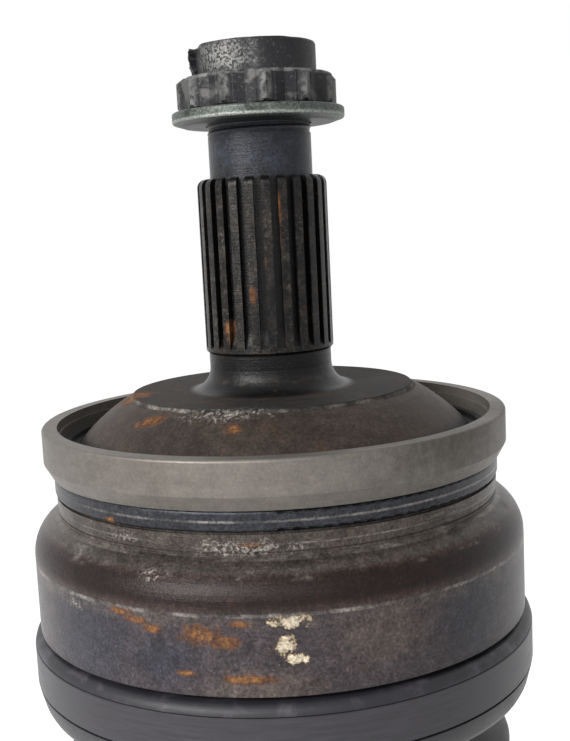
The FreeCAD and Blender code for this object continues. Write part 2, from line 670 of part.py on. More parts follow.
# boots: a collar, a falling row of rounded folds and a small collar on the bar
def foldEdges(extremes):
    edges = []
    place = extremes[0]
    for here, following in zip(extremes[1:], extremes[2:] + [None]):
        if following is None:
            edges.append(Part.LineSegment(place, here).toShape())
            break
        halfway = (here + following) * 0.5
        edges.append(Part.Arc(place, here, halfway).toShape())
        place = halfway
    return edges


def straightEdges(corners):
    return [Part.LineSegment(start, end).toShape() for start, end in zip(corners, corners[1:])]


def boot(label, top, direction, collar, collarHeight, seat, folds, smallTop):
    play = size("bootPlay")
    recess = size("clampRecess")
    small = size("barRadius") + play + size("smallCollarWall")
    bandStart = size("clampOffset")
    bandEnd = bandStart + size("clampWidth") + 2 * play
    smallEnd = size("smallCollarHeight")
    smallBand = (smallEnd - size("smallClampWidth")) / 2 - play

    def spot(radius, depth):
        return Vector(radius, 0, top - direction * depth)

    smallDepth = abs(top - smallTop)
    outer = [
        spot(collar, 0), spot(collar, bandStart), spot(collar - recess, bandStart),
        spot(collar - recess, bandEnd), spot(collar, bandEnd), spot(collar, collarHeight),
    ]
    foldSpots = [spot(radius, depth) for radius, depth in folds]
    smallSpots = [
        spot(small, smallDepth), spot(small, smallDepth + smallBand),
        spot(small - recess, smallDepth + smallBand),
        spot(small - recess, smallDepth + smallEnd - smallBand),
        spot(small, smallDepth + smallEnd - smallBand), spot(small, smallDepth + smallEnd),
    ]
    wall = Vector(size("bootWall"), 0, 0)
    innerFolds = [place - wall for place in [outer[-1]] + foldSpots]
    innerFolds[0].x = min(innerFolds[0].x, seat + play + size("seatStep"))
    sleeve = size("barRadius") + play
    edges = straightEdges(outer)
    edges += foldEdges([outer[-1]] + foldSpots + [smallSpots[0]])
    edges += straightEdges(smallSpots)
    edges += straightEdges([smallSpots[-1], spot(sleeve, smallDepth + smallEnd),
                            spot(sleeve, smallDepth)])
    edges += foldEdges(innerFolds + [spot(sleeve, smallDepth)])
    edges += straightEdges([innerFolds[0], spot(seat + play, collarHeight),
                            spot(seat + play, 0), outer[0]])
    face = Part.Face(Part.Wire(Part.__sortEdges__(edges)))
    return ready(label, face.revolve(Vector(0, 0, 0), Vector(0, 0, 1), fullTurn))


def fallingFolds(crest, valley, lastCrest, lastValley, start, count):
    folds = []
    pitch = size("foldPitch")
    for number in range(count):
        share = number / (count - 1)
        depth = start + pitch * number
        folds.append((crest + (lastCrest - crest) * share, depth))
        folds.append((valley + (lastValley - valley) * share, depth + pitch / 2))
    return folds


outerBootTop = "-(barrelBottom + bootGap)"
outerCollar = "(bootSeatRadius + bootPlay + collarWall)"
outerCollarHeight = "(mouthDepth - mouthCover - barrelBottom - bootGap)"
outerSmallTop = outerBootTop + " - outerBootLength"
outerFolds = fallingFolds(
    size("bootSeatRadius") + size("outerCrestRise"), size("bootSeatRadius") - size("outerValleyRise"),
    size("outerLastCrest"), size("outerLastValley"),
    size("mouthDepth") + size("foldStart") - size("barrelBottom") - size("bootGap"),
    int(size("outerFolds")))
subParts.append(boot(
    "outer_boot", worked(outerBootTop), 1, worked(outerCollar), worked(outerCollarHeight),
    size("bootSeatRadius"), outerFolds, worked(outerSmallTop)))
innerCollar = "(canRadius + bootPlay + collarWall)"
innerBootTop = mouth + " - innerCollarDrop - innerCollarHeight"
innerSmallBottom = innerBootTop + " + innerBootLength"
innerFolds = fallingFolds(
    size("canRadius") + size("innerCrestRise"), size("canRadius") - size("innerValleyRise"),
    size("innerLastCrest"), size("innerLastValley"),
    size("innerCollarHeight") + size("innerFoldStart"), int(size("innerFolds")))
subParts.append(boot(
    "inner_boot", worked(innerBootTop), -1, worked(innerCollar), size("innerCollarHeight"),
    size("canRadius"), innerFolds, worked(innerSmallBottom)))


# clamps: a flat band with a pinched ear at the back
def clamp(label, radius, foot, width):
    band = turned(label + "_band", [
        (radius, foot + " + " + width),
        (radius + " + clampThick", foot + " + " + width),
        (radius + " + clampThick", foot),
        (radius, foot),
    ])
    ear = doc.addObject("Part::Box", label + "_ear")
    bind(ear, Length="clampEar", Width="earRise", Height="earWidth")
    bind(ear, Placement_Base_x="-clampEar / 2", Placement_Base_y=radius + " + clampThick / 2")
    bind(ear, Placement_Base_z=foot + " + (" + width + " - earWidth) / 2")
    doc.recompute()
    return joined("Part::MultiFuse", label, [band, ear])


collarFloor = " - clampRecess + clampPlay"
smallCollar = "barRadius + bootPlay + smallCollarWall"
smallMiddle = "(smallCollarHeight + smallClampWidth) / 2"
subParts.append(clamp(
    "outer_large_clamp", outerCollar + collarFloor,
    outerBootTop + " - clampOffset - bootPlay - clampWidth", "clampWidth"))
subParts.append(clamp(
    "outer_small_clamp", smallCollar + collarFloor,
    outerSmallTop + " - " + smallMiddle, "smallClampWidth"))
subParts.append(clamp(
    "inner_large_clamp", innerCollar + collarFloor,
    innerBootTop + " + clampOffset + bootPlay", "clampWidth"))
subParts.append(clamp(
    "inner_small_clamp", smallCollar + collarFloor,
    innerSmallBottom + " + " + smallMiddle + " - smallClampWidth", "smallClampWidth"))

# final checks, then one file for each sub-part
doc.recompute()
for item in doc.Objects:
    if "Invalid" in item.State or "Error" in item.State:
        raise RuntimeError("not built: " + item.Label)
for item in subParts:
    if item.Shape.isNull() or not item.Shape.isValid():
        raise RuntimeError("bad shape: " + item.Label)
os.makedirs("parts", exist_ok=True)
for item in subParts:
    item.Shape.exportStep(os.path.join("parts", item.Label + ".step"))
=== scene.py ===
import json
import math
import bmesh
import bpy
from mathutils import Matrix, Vector, noise


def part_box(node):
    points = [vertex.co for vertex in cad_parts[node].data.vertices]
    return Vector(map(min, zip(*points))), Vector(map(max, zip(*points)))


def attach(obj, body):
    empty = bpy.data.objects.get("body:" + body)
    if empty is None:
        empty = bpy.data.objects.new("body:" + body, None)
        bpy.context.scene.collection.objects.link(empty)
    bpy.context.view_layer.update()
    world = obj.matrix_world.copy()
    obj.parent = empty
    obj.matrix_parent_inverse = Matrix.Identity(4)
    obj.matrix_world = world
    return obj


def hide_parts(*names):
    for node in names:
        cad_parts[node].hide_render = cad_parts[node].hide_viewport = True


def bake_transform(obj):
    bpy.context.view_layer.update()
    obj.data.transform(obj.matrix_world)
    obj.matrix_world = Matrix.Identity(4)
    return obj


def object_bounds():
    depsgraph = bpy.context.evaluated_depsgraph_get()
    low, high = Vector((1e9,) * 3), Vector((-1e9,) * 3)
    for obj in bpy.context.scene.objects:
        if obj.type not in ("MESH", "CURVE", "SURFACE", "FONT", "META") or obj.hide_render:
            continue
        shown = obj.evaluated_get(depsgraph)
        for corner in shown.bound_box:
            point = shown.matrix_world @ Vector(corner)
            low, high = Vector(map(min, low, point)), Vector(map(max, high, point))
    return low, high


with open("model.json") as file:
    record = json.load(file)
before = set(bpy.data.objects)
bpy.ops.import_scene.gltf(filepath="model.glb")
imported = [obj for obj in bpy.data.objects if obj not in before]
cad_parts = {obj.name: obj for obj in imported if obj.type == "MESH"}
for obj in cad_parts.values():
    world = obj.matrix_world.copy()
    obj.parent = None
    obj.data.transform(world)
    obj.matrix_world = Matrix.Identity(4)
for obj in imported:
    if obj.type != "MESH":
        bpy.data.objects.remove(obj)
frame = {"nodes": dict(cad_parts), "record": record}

print("half shaft: frame loaded")
cadBox = [list(corner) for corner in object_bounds()]
nodes = frame["nodes"]
mm = 0.001


# places read from the frame, in metres
def nodeSpan(name):
    low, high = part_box(name)
    return low.z, high.z


# colours are written as they look, and turned into the renderer's own scale here
def tone(code):
    parts = [int(code[place:place + 2], 16) / 255 for place in (1, 3, 5)]
    linear = [part / 12.92 if part <= 0.04045 else ((part + 0.055) / 1.055) ** 2.4 for part in parts]
    return linear + [1.0]


# node helpers
def feed(tree, socket, value):
    if isinstance(value, bpy.types.NodeSocket):
        tree.links.new(value, socket)
    elif value is not None:
        socket.default_value = value


def addNode(tree, kind, inputs=None, **settings):
    made = tree.nodes.new(kind)
    for name, value in settings.items():
        setattr(made, name, value)
    for name, value in (inputs or {}).items():
        feed(tree, made.inputs[name], value)
    return made


def calc(tree, operation, first, second=None, third=None, clamp=False):
    inputs = {0: first, 1: second, 2: third}
    return addNode(tree, "ShaderNodeMath", inputs, operation=operation, use_clamp=clamp).outputs[0]


def calcVector(tree, operation, first, second):
    place = 3 if operation == "SCALE" else 1
    return addNode(tree, "ShaderNodeVectorMath", {0: first, place: second}, operation=operation).outputs[0]


def mixTone(tree, share, first, second, blend="MIX"):
    inputs = {0: share, 6: first, 7: second}
    return addNode(tree, "ShaderNodeMix", inputs, data_type="RGBA", blend_type=blend).outputs[2]


def remap(tree, value, low, high, newLow=0.0, newHigh=1.0):
    made = addNode(
        tree, "ShaderNodeMapRange", {0: value, 1: low, 2: high, 3: newLow, 4: newHigh},
        interpolation_type="SMOOTHSTEP")
    return made.outputs[0]


def noiseOf(tree, vector, scale, detail=4.0, roughness=0.6, distortion=0.0):
    made = addNode(tree, "ShaderNodeTexNoise", {
        "Vector": vector, "Scale": scale, "Detail": detail, "Roughness": roughness,
        "Distortion": distortion})
    return made.outputs[0]


def startGroup(name, inputs, outputs):
    group = bpy.data.node_groups.new(name, "ShaderNodeTree")
    for label, kind, value in inputs:
        socket = group.interface.new_socket(label, in_out="INPUT", socket_type="NodeSocket" + kind)
        if value is not None:
            socket.default_value = value
    for label, kind in outputs:
        group.interface.new_socket(label, in_out="OUTPUT", socket_type="NodeSocket" + kind)
    return group, group.nodes.new("NodeGroupInput").outputs, group.nodes.new("NodeGroupOutput").inputs


def useGroup(tree, group, **inputs):
    made = tree.nodes.new("ShaderNodeGroup")
    made.node_tree = group
    for name, value in inputs.items():
        feed(tree, made.inputs[name], value)
    return made.outputs


# effects shared by the materials
def turnedPlaceGroup():
    group, _, out = startGroup(
        "turnedPlace", [], [("Radius", "Float"), ("Height", "Float"), ("Point", "Vector")])
    place = addNode(group, "ShaderNodeTexCoord").outputs["Object"]
    point = calcVector(group, "SCALE", place, 1 / mm)
    axes = addNode(group, "ShaderNodeSeparateXYZ", {0: point}).outputs
    flat = addNode(group, "ShaderNodeCombineXYZ", {0: axes[0], 1: axes[1]}).outputs[0]
    radius = addNode(group, "ShaderNodeVectorMath", {0: flat}, operation="LENGTH").outputs["Value"]
    feed(group, out["Radius"], radius)
    feed(group, out["Height"], axes[2])
    feed(group, out["Point"], point)
    return group


def bandGroup():
    group, given, out = startGroup(
        "between", [("Value", "Float", 0.0), ("Low", "Float", 0.0), ("High", "Float", 1.0),
                    ("Soft", "Float", 0.2)], [("Mask", "Float")])
    lowEnd = calc(group, "ADD", given["Low"], given["Soft"])
    highStart = calc(group, "SUBTRACT", given["High"], given["Soft"])
    rising = remap(group, given["Value"], given["Low"], lowEnd)
    falling = remap(group, given["Value"], highStart, given["High"], 1.0, 0.0)
    feed(group, out["Mask"], calc(group, "MULTIPLY", rising, falling))
    return group


def patchGroup():
    group, given, out = startGroup(
        "patches", [("Point", "Vector", None), ("Scale", "Float", 0.2), ("Amount", "Float", 0.4),
                    ("Soft", "Float", 0.08), ("Shift", "Float", 0.0)], [("Mask", "Float")])
    moved = calcVector(group, "ADD", given["Point"], given["Shift"])
    field = noiseOf(group, moved, given["Scale"], detail=6.0, roughness=0.62, distortion=0.35)
    level = calc(group, "SUBTRACT", 1.0, given["Amount"])
    feed(group, out["Mask"], remap(group, field, level, calc(group, "ADD", level, given["Soft"])))
    return group


# how far a spot's edge wanders, and where its mask starts and ends, as shares of its size
spotEdge = {"wander": 3.0, "inner": 0.15, "outer": 1.15}


def spotGroup():
    group, given, out = startGroup(
        "spot", [("Point", "Vector", None), ("Centre", "Vector", None),
                 ("Stretch", "Vector", (1.0, 1.0, 1.0)), ("Size", "Float", 2.0), ("Ragged", "Float", 0.5)],
        [("Mask", "Float")])
    away = calcVector(group, "SUBTRACT", given["Point"], given["Centre"])
    away = calcVector(group, "DIVIDE", away, given["Stretch"])
    reach = addNode(group, "ShaderNodeVectorMath", {0: away}, operation="LENGTH").outputs["Value"]
    rough = noiseOf(group, given["Point"], scale=0.45, detail=5.0, roughness=0.68)
    rough = calc(group, "SUBTRACT", rough, 0.5)
    rough = calc(group, "MULTIPLY", calc(group, "MULTIPLY", rough, given["Ragged"]), given["Size"])
    reach = calc(group, "ADD", reach, calc(group, "MULTIPLY", rough, spotEdge["wander"]))
    inner = calc(group, "MULTIPLY", given["Size"], spotEdge["inner"])
    outer = calc(group, "MULTIPLY", given["Size"], spotEdge["outer"])
    feed(group, out["Mask"], remap(group, reach, inner, outer, 1.0, 0.0))
    return group


# how slowly the lines and the brushed streaks change round the body, and the streaks' pitch
markStretch = {"lines": 0.02, "brushed": 0.12, "brushedPitch": 0.55}


def toolMarkGroup():
    group, given, out = startGroup(
        "toolMarks", [("Point", "Vector", None), ("Radius", "Float", 0.0), ("Height", "Float", 0.0),
                      ("Pitch", "Float", 3.0)], [("Lines", "Float"), ("Brushed", "Float")])
    slow = calcVector(group, "SCALE", given["Point"], markStretch["lines"])
    axes = addNode(group, "ShaderNodeSeparateXYZ", {0: slow}).outputs
    across = calc(group, "MULTIPLY", calc(group, "ADD", given["Height"], given["Radius"]), given["Pitch"])
    lines = addNode(group, "ShaderNodeCombineXYZ", {0: axes[0], 1: axes[1], 2: across}).outputs[0]
    feed(group, out["Lines"], noiseOf(group, lines, scale=1.0, detail=3.0, roughness=0.7))
    longer = calcVector(group, "SCALE", given["Point"], markStretch["brushed"])
    sides = addNode(group, "ShaderNodeSeparateXYZ", {0: longer}).outputs
    coarser = calc(group, "MULTIPLY", across, markStretch["brushedPitch"])
    brush = addNode(group, "ShaderNodeCombineXYZ", {0: sides[0], 1: sides[1], 2: coarser}).outputs[0]
    feed(group, out["Brushed"], noiseOf(group, brush, scale=1.0, detail=6.0, roughness=0.72))
    return group


def grainGroup():
    group, given, out = startGroup(
        "grain", [("Point", "Vector", None), ("Scale", "Float", 1.0)], [("Grain", "Float")])
    scale = calc(group, "MULTIPLY", given["Scale"], 1.7)
    feed(group, out["Grain"], noiseOf(group, given["Point"], scale, detail=5.0, roughness=0.7))
    return group


turnedPlace = turnedPlaceGroup()
between = bandGroup()
patches = patchGroup()
spot = spotGroup()
toolMarks = toolMarkGroup()
grain = grainGroup()


# a material's first nodes: the shader, and where a point lies on the turned body
class Finish:
    def __init__(self, name, **fixed):
        self.material = bpy.data.materials.new(name)
        self.material.use_nodes = True
        self.tree = self.material.node_tree
        self.tree.nodes.clear()
        self.shader = addNode(self.tree, "ShaderNodeBsdfPrincipled", fixed)
        ending = addNode(self.tree, "ShaderNodeOutputMaterial")
        self.tree.links.new(self.shader.outputs[0], ending.inputs["Surface"])
        place = useGroup(self.tree, turnedPlace)
        self.radius = place["Radius"]
        self.height = place["Height"]
        self.point = place["Point"]

    def band(self, low, high, soft=0.3, along=None):
        value = self.height if along is None else along
        return useGroup(self.tree, between, Value=value, Low=low, High=high, Soft=soft)["Mask"]

    def patch(self, scale, amount, soft=0.08, shift=0.0):
        made = useGroup(
            self.tree, patches, Point=self.point, Scale=scale, Amount=amount, Soft=soft, Shift=shift)
        return made["Mask"]

    def spot(self, centre, size, stretch=(1, 1, 1), ragged=0.5):
        made = useGroup(
            self.tree, spot, Point=self.point, Centre=centre, Size=size, Stretch=stretch, Ragged=ragged)
        return made["Mask"]

    def marks(self, listed, ragged):
        return self.either(*[
            self.spot(onBarrel(angle, height, radius), reach, stretch, ragged)
            for angle, height, radius, reach, stretch in listed])

    def both(self, first, second):
        return calc(self.tree, "MULTIPLY", first, second)

    def either(self, *masks):
        joined = masks[0]
        for mask in masks[1:]:
            joined = calc(self.tree, "MAXIMUM", joined, mask)
        return joined

    def paint(self, share, first, second, strength=None):
        if strength is not None:
            share = self.both(share, strength)
        return mixTone(self.tree, share, first, second)

    def shade(self, colour, field, low, high, darkest, lightest):
        factor = remap(self.tree, field, low, high, darkest, lightest)
        return mixTone(self.tree, 1.0, colour, factor, "MULTIPLY")

    def finish(self, colour=None, roughness=None, metallic=None, height=None, depth=0.1):
        feed(self.tree, self.shader.inputs["Base Color"], colour)
        feed(self.tree, self.shader.inputs["Roughness"], roughness)
        feed(self.tree, self.shader.inputs["Metallic"], metallic)
        if height is not None:
            bump = addNode(
                self.tree, "ShaderNodeBump", {"Height": height, "Distance": depth * mm, "Strength": 1.0})
            feed(self.tree, self.shader.inputs["Normal"], bump.outputs[0])
        return self.material


# the housing's zones, each from a low to a high end in millimetres; "out" zones are radii
housingZones = {
    "spline": (-0.8, 45.5), "crestOut": (13.55, 14.6), "bossTop": (-1.2, 2.2), "bossOut": (16.5, 34.0),
    "bossRimOut": (30.6, 31.8), "bossShade": (-1.2, 3.0), "dome": (-16.0, -0.6), "domeOut": (20.0, 43.4),
    "recess": (-16.0, -6.5), "recessOut": (40.0, 47.2), "skinOut": (47.0, 60.0), "band": (-20.2, -14.0),
    "neck": (-27.2, -19.6), "shoulder": (-33.5, -26.0), "shoulderFoot": (-33.6, -25.4),
    "barrelTop": (-36.4, -32.4), "barrel": (-75.0, -32.9), "underLipShade": (-75.0, -48.4),
    "barrelEdge": (-33.9, -32.8), "turnedNeck": (-28.0, -19.8), "bareNeck": (-28.0, -14.6),
    "glints": (-40.0, 60.0), "firstLine": (-24.9, -24.1), "secondLine": (-22.2, -21.7),
    "bandLine": (-17.9, -17.2),
}
# its patches: scale per millimetre, share covered, softness of the edge, shift of the pattern
housingPatches = {
    "wide": (0.06, 0.6, 0.3), "fine": (0.7, 0.62, 0.3, 7.0), "flecks": (1.5, 0.4, 0.12, 9.0),
    "stemGrime": (0.16, 0.6, 0.4, 3.0), "crest": (0.3, 0.6, 0.35, 3.0),
    "splineGrime": (0.12, 0.45, 0.25, 11.0), "crestChips": (1.2, 0.5, 0.12, 14.0),
    "chippedArea": (0.1, 0.62, 0.3, 18.0), "bossRust": (0.35, 0.45, 0.12, 33.0),
    "bossRim": (0.18, 0.58, 0.25, 19.0), "domeRust": (0.2, 0.45, 0.25, 15.0),
    "neckDark": (0.12, 0.55, 0.35, 5.0), "barrelDark": (0.07, 0.5, 0.35, 13.0),
    "barrelRust": (0.1, 0.4, 0.25, 21.0), "topStripe": (0.16, 0.66, 0.35, 4.0),
    "turnedArea": (0.05, 0.62, 0.3, 17.0), "litArea": (0.06, 0.66, 0.35, 17.0),
    "edgeWear": (0.22, 0.6, 0.3, 4.0), "wearSpecks": (1.4, 0.54, 0.14),
    "rustArea": (0.11, 0.42, 0.2, 31.0), "rustSpecks": (0.8, 0.55, 0.2),
    "rustCore": (0.8, 0.66, 0.3, 8.0), "pores": (1.1, 0.4, 0.1, 41.0), "glints": (2.3, 0.36, 0.08, 23.0),
    "glintArea": (0.2, 0.62, 0.3, 27.0),
}


def onBarrel(angle, height, radius):
    turn = math.radians(angle)
    return (radius * math.sin(turn), -radius * math.cos(turn), height)


# marks, each as (degrees from the front, height, radius, size, stretch), in millimetres
housingRust = [
    (-33.6, -34.2, 54, 1.7, (2.4, 1.6, 0.6)), (-29.5, -35.3, 54, 2.0, (2.4, 1.6, 0.5)),
    (-26.0, -36.6, 54, 1.7, (2.0, 1.4, 0.6)), (-15.7, -36.8, 54, 2.6, (2.4, 1.0, 0.9)),
    (-10.8, -38.2, 54, 2.2, (1.8, 1.0, 0.8)), (-7.7, -34.8, 54, 1.6, (2.2, 1.0, 0.5)),
    (-5.8, -21.9, 48.3, 1.2, (2.6, 1.0, 0.5)), (-80.0, -0.4, 30.0, 4.4, (1.2, 1.4, 1.0)),
    (-12.5, -3.2, 35.2, 2.0, (1.1, 0.9, 1.0)), (-97.0, -7.0, 39.5, 4.4, (0.6, 1.5, 1.4)),
    (-50.0, -3.6, 35.2, 1.3, (1.0, 1.0, 1.0)), (-44.0, -2.6, 33.6, 2.6, (2.0, 1.0, 0.7)),
    (12.6, 38.6, 14, 1.3, (0.9, 0.9, 3.6)), (11.2, 32.1, 14, 1.2, (0.9, 0.9, 2.4)),
    (-2.5, 27.8, 14, 1.4, (1.0, 1.0, 1.3)), (-12.5, 21.1, 14, 1.3, (1.0, 1.0, 1.6)),
    (-35.4, 13.6, 13.6, 1.7, (1.0, 1.0, 1.8)), (-3.1, 40.5, 14, 1.0, (1.0, 1.0, 1.8)),
    (-40.8, -19.2, 48.7, 1.4, (1.8, 1.0, 0.7)), (-7.0, -45.2, 54, 2.2, (3.6, 1.0, 0.5)),
    (-19.0, -44.4, 54, 1.6, (2.4, 1.0, 0.5)), (118, -36.0, 54, 3.6, (1.6, 1.6, 0.7)),
    (170, -22.0, 48.3, 2.4, (2.0, 1.0, 0.7)), (205, -38.0, 54, 3.0, (2.4, 1.0, 0.6)),
]
housingWear = [
    (-36.8, -21.8, 48.3, 2.6, (2.2, 1.4, 0.4)), (-24.8, -27.4, 50, 2.4, (2.0, 1.0, 0.8)),
    (-20.0, -0.9, 32.4, 4.4, (2.8, 1.0, 0.3)), (-13.0, -28.2, 50.4, 2.0, (2.0, 1.0, 0.7)),
    (-8.0, -22.6, 48.3, 4.0, (3.6, 1.0, 0.5)), (-47.0, -35.4, 54, 1.6, (1.6, 1.2, 0.7)),
    (150, -28.0, 51, 2.4, (1.6, 1.0, 0.6)),
]
housingFlakes = [
    (2.2, -34.6, 54, 2.7, (1.7, 1.0, 0.8)), (0.7, -38.4, 54, 2.4, (0.9, 1.0, 1.3)),
    (2.9, -41.5, 54, 1.9, (1.5, 1.0, 0.6)), (235, -40.0, 54, 2.4, (1.4, 1.2, 0.8)),
]
neckSheen = [(-2.0, -23.0, 48.3, 17.0, (1.1, 1.0, 0.3)), (4.0, -17.5, 48.7, 14.0, (1.3, 1.0, 0.15))]
# dark marks on the boss in front of the stem: painted shadow of the stem
housingStemShade = [
    (6.0, 0.0, 26.0, 12.0, (1.9, 1.0, 1.0)), (62.0, 0.0, 25.0, 11.0, (1.0, 1.6, 1.0)),
]
housingPale = [
    (21.0, -39.0, 54, 12.0, (1.0, 1.0, 0.6)), (-4.0, -47.0, 54, 9.0, (1.6, 1.0, 0.5)),
    (160.0, -40.0, 54, 13.0, (1.0, 1.0, 0.7)),
]
housingTint = [
    (-44.0, -41.0, 54, 17.0, (1.0, 1.0, 0.8)), (-24.0, -42.5, 54, 9.0, (1.0, 1.0, 0.7)),
    (44.0, -40.0, 54, 11.0, (1.0, 1.0, 1.1)),
    (120.0, -42.0, 54, 15.0, (1.0, 1.0, 0.8)), (215.0, -41.0, 54, 14.0, (1.0, 1.0, 0.8)),
]


# its roughness and metal, and the bumps' heights: shares of "bump", which is in millimetres
housingSurface = {
    "smooth": 0.22, "grain": 0.22, "domeMatt": 0.5, "matt": 0.4, "sheenSmooth": 0.12, "metal": 0.16,
    "bareNeck": 0.3, "bareWear": 0.6, "bareSheen": 0.4, "lineHeight": 0.3, "pitHeight": 0.45,
    "stainHeight": 0.4, "raised": 0.8, "bump": 0.2,
}


def forgedHousing():
    tones = {
        "stem": tone("#2b2e35"), "root": tone("#0d0d0e"), "crest": tone("#35312d"), "boss": tone("#2d2926"),
        "dome": tone("#3a312b"), "domeDark": tone("#2b2522"), "recess": tone("#0e0e10"),
        "band": tone("#33353b"), "neck": tone("#48423e"), "neckDark": tone("#2a2623"),
        "shoulder": tone("#4a3c39"), "shoulderDark": tone("#1c1110"), "barrel": tone("#413b3f"),
        "barrelBlue": tone("#31323c"), "barrelTop": tone("#5d554f"), "barrelPale": tone("#5b504b"),
        "brown": tone("#4d3526"), "rust": tone("#593a28"), "core": tone("#976a3c"),
        "flake": tone("#94846d"), "flakeCore": tone("#c8bda9"), "worn": tone("#97928b"),
        "grime": tone("#211e1c"),
    }
    z = housingZones
    f = Finish("forgedHousing", **{"Specular IOR Level": 0.2})
    tree = f.tree
    lines = useGroup(tree, toolMarks, Point=f.point, Radius=f.radius, Height=f.height, Pitch=3.2)
    pits = useGroup(tree, grain, Point=f.point, Scale=1.0)["Grain"]
    patch = {name: f.patch(*values) for name, values in housingPatches.items()}

    # stem and spline
    colour = f.paint(patch["stemGrime"], tones["stem"], tones["grime"])
    crest = f.band(*z["crestOut"], 0.4, f.radius)
    spline = f.paint(f.both(crest, patch["crest"]), tones["root"], tones["crest"])
    spline = f.paint(patch["splineGrime"], spline, tones["grime"], strength=0.6)
    crestEdge = f.both(crest, f.both(patch["crestChips"], patch["chippedArea"]))
    spline = f.paint(crestEdge, spline, tones["barrelTop"], strength=0.55)
    colour = f.paint(f.band(*z["spline"], 0.5), colour, spline)

    # boss, dome and recess
    flatTop = f.both(f.band(*z["bossTop"], 0.4), f.band(*z["bossOut"], 2.5, f.radius))
    boss = f.paint(patch["fine"], tones["boss"], tones["grime"], strength=0.6)
    boss = f.paint(patch["bossRust"], boss, tones["brown"], strength=0.5)
    boss = f.paint(patch["flecks"], boss, tones["barrelTop"], strength=0.45)
    rim = f.both(f.band(*z["bossRimOut"], 0.4, f.radius), patch["bossRim"])
    boss = f.paint(rim, boss, tones["worn"], strength=0.7)
    colour = f.paint(flatTop, colour, boss)
    # painted shade: the stem's shadow on the boss, in near-black tone
    stemShade = f.both(f.marks(housingStemShade, 0.6), 0.75)
    colour = f.paint(f.both(stemShade, f.band(*z["bossShade"], 0.3)), colour, tones["recess"])
    dome = f.paint(patch["wide"], tones["dome"], tones["domeDark"])
    dome = f.paint(patch["domeRust"], dome, tones["brown"], strength=0.6)
    dome = f.paint(patch["fine"], dome, tones["grime"], strength=0.45)
    domeMask = f.both(f.band(*z["dome"], 0.5), f.band(*z["domeOut"], 0.6, f.radius))
    colour = f.paint(domeMask, colour, dome)
    # painted shade: the recess between the dome and the ring is painted near black
    recessShade = f.both(f.band(*z["recess"], 2.6), f.band(*z["recessOut"], 1.6, f.radius))
    colour = f.paint(recessShade, colour, tones["recess"])

    # band, neck, shoulder and barrel
    outside = f.band(*z["skinOut"], 0.1, f.radius)
    bandTone = f.paint(lines["Brushed"], tones["band"], tones["grime"], strength=0.5)
    colour = f.paint(f.both(outside, f.band(*z["band"], 0.2)), colour, bandTone)
    neck = f.paint(patch["neckDark"], tones["neck"], tones["neckDark"])
    neck = f.paint(patch["flecks"], neck, tones["barrelTop"], strength=0.4)
    colour = f.paint(f.both(outside, f.band(*z["neck"], 0.35)), colour, neck)
    shoulder = f.paint(patch["wide"], tones["shoulder"], tones["neckDark"])
    # dark band at the shoulder's foot: partly the forged skin, partly a painted dark reflection
    shoulder = f.paint(f.band(*z["shoulderFoot"], 2.8), shoulder, tones["shoulderDark"])
    colour = f.paint(f.both(outside, f.band(*z["shoulder"], 0.9)), colour, shoulder)
    blue = f.marks(housingTint, 0.35)
    barrel = f.paint(patch["barrelDark"], tones["barrel"], tones["neckDark"])
    barrel = f.paint(blue, barrel, tones["barrelBlue"], strength=0.85)
    barrel = f.paint(f.marks(housingPale, 0.5), barrel, tones["barrelPale"], strength=0.75)
    barrel = f.paint(patch["barrelRust"], barrel, tones["brown"], strength=0.35)
    topStripe = f.both(f.band(*z["barrelTop"], 1.6), patch["topStripe"])
    barrel = f.paint(topStripe, barrel, tones["barrelTop"], strength=0.75)
    barrel = f.paint(patch["fine"], barrel, tones["grime"], strength=0.35)
    barrel = f.paint(patch["flecks"], barrel, tones["worn"], strength=0.22)
    colour = f.paint(f.both(outside, f.band(*z["barrel"], 0.3)), colour, barrel)
    # painted shade under the barrel's lip, in near-black tone
    underLipShade = f.band(*z["underLipShade"], 0.4)
    colour = f.paint(underLipShade, colour, tones["recess"])

    # the lathe's lines on the neck and band, painted pale as highlights, and worn metal at the edge of the
    # shoulder
    turnedLines = remap(tree, lines["Brushed"], 0.52, 0.66)
    onNeck = f.both(f.band(*z["turnedNeck"], 1.0), patch["turnedArea"])
    litLines = f.either(
        f.band(*z["firstLine"], 0.3), f.band(*z["secondLine"], 0.2), f.band(*z["bandLine"], 0.3))
    litLines = f.both(litLines, patch["litArea"])
    litLines = f.both(f.either(litLines, f.both(f.both(turnedLines, onNeck), 0.8)), outside)
    edge = f.both(f.band(*z["barrelEdge"], 0.4), patch["edgeWear"])
    worn = f.either(f.both(litLines, 0.7), f.both(f.both(edge, outside), 0.6))
    speckled = f.both(f.marks(housingWear, 0.8), patch["wearSpecks"])
    worn = f.either(worn, f.both(speckled, 0.85))
    # real wear at the edge and in specks, plus the painted highlights of the lathe's lines
    colour = f.paint(worn, colour, tones["worn"])

    # rust and flaked patches
    rust = f.both(patch["rustArea"], f.both(patch["rustSpecks"], 0.6))
    marked = f.marks(housingRust, 0.55)
    stain = remap(tree, marked, 0.05, 0.6)
    core = f.both(remap(tree, marked, 0.5, 0.95), patch["rustCore"])
    colour = f.paint(rust, colour, tones["brown"])
    colour = f.paint(stain, colour, tones["rust"], strength=0.75)
    colour = f.paint(core, colour, tones["core"], strength=0.55)
    flaked = f.marks(housingFlakes, 0.95)
    flakes = remap(tree, flaked, 0.36, 0.5)
    colour = f.paint(flakes, colour, tones["flake"])
    colour = f.paint(remap(tree, flaked, 0.62, 0.8), colour, tones["flakeCore"], strength=0.85)
    colour = f.paint(patch["pores"], colour, tones["recess"], strength=0.55)
    glints = f.both(patch["glints"], patch["glintArea"])
    colour = f.paint(f.both(glints, f.both(f.band(*z["glints"], 12.0), 0.3)), colour, tones["worn"])
    mottle = noiseOf(tree, f.point, scale=0.35, detail=6.0, roughness=0.75)
    colour = f.shade(colour, mottle, 0.3, 0.7, 0.68, 1.32)
    colour = f.shade(colour, pits, 0.33, 0.67, 0.6, 1.45)

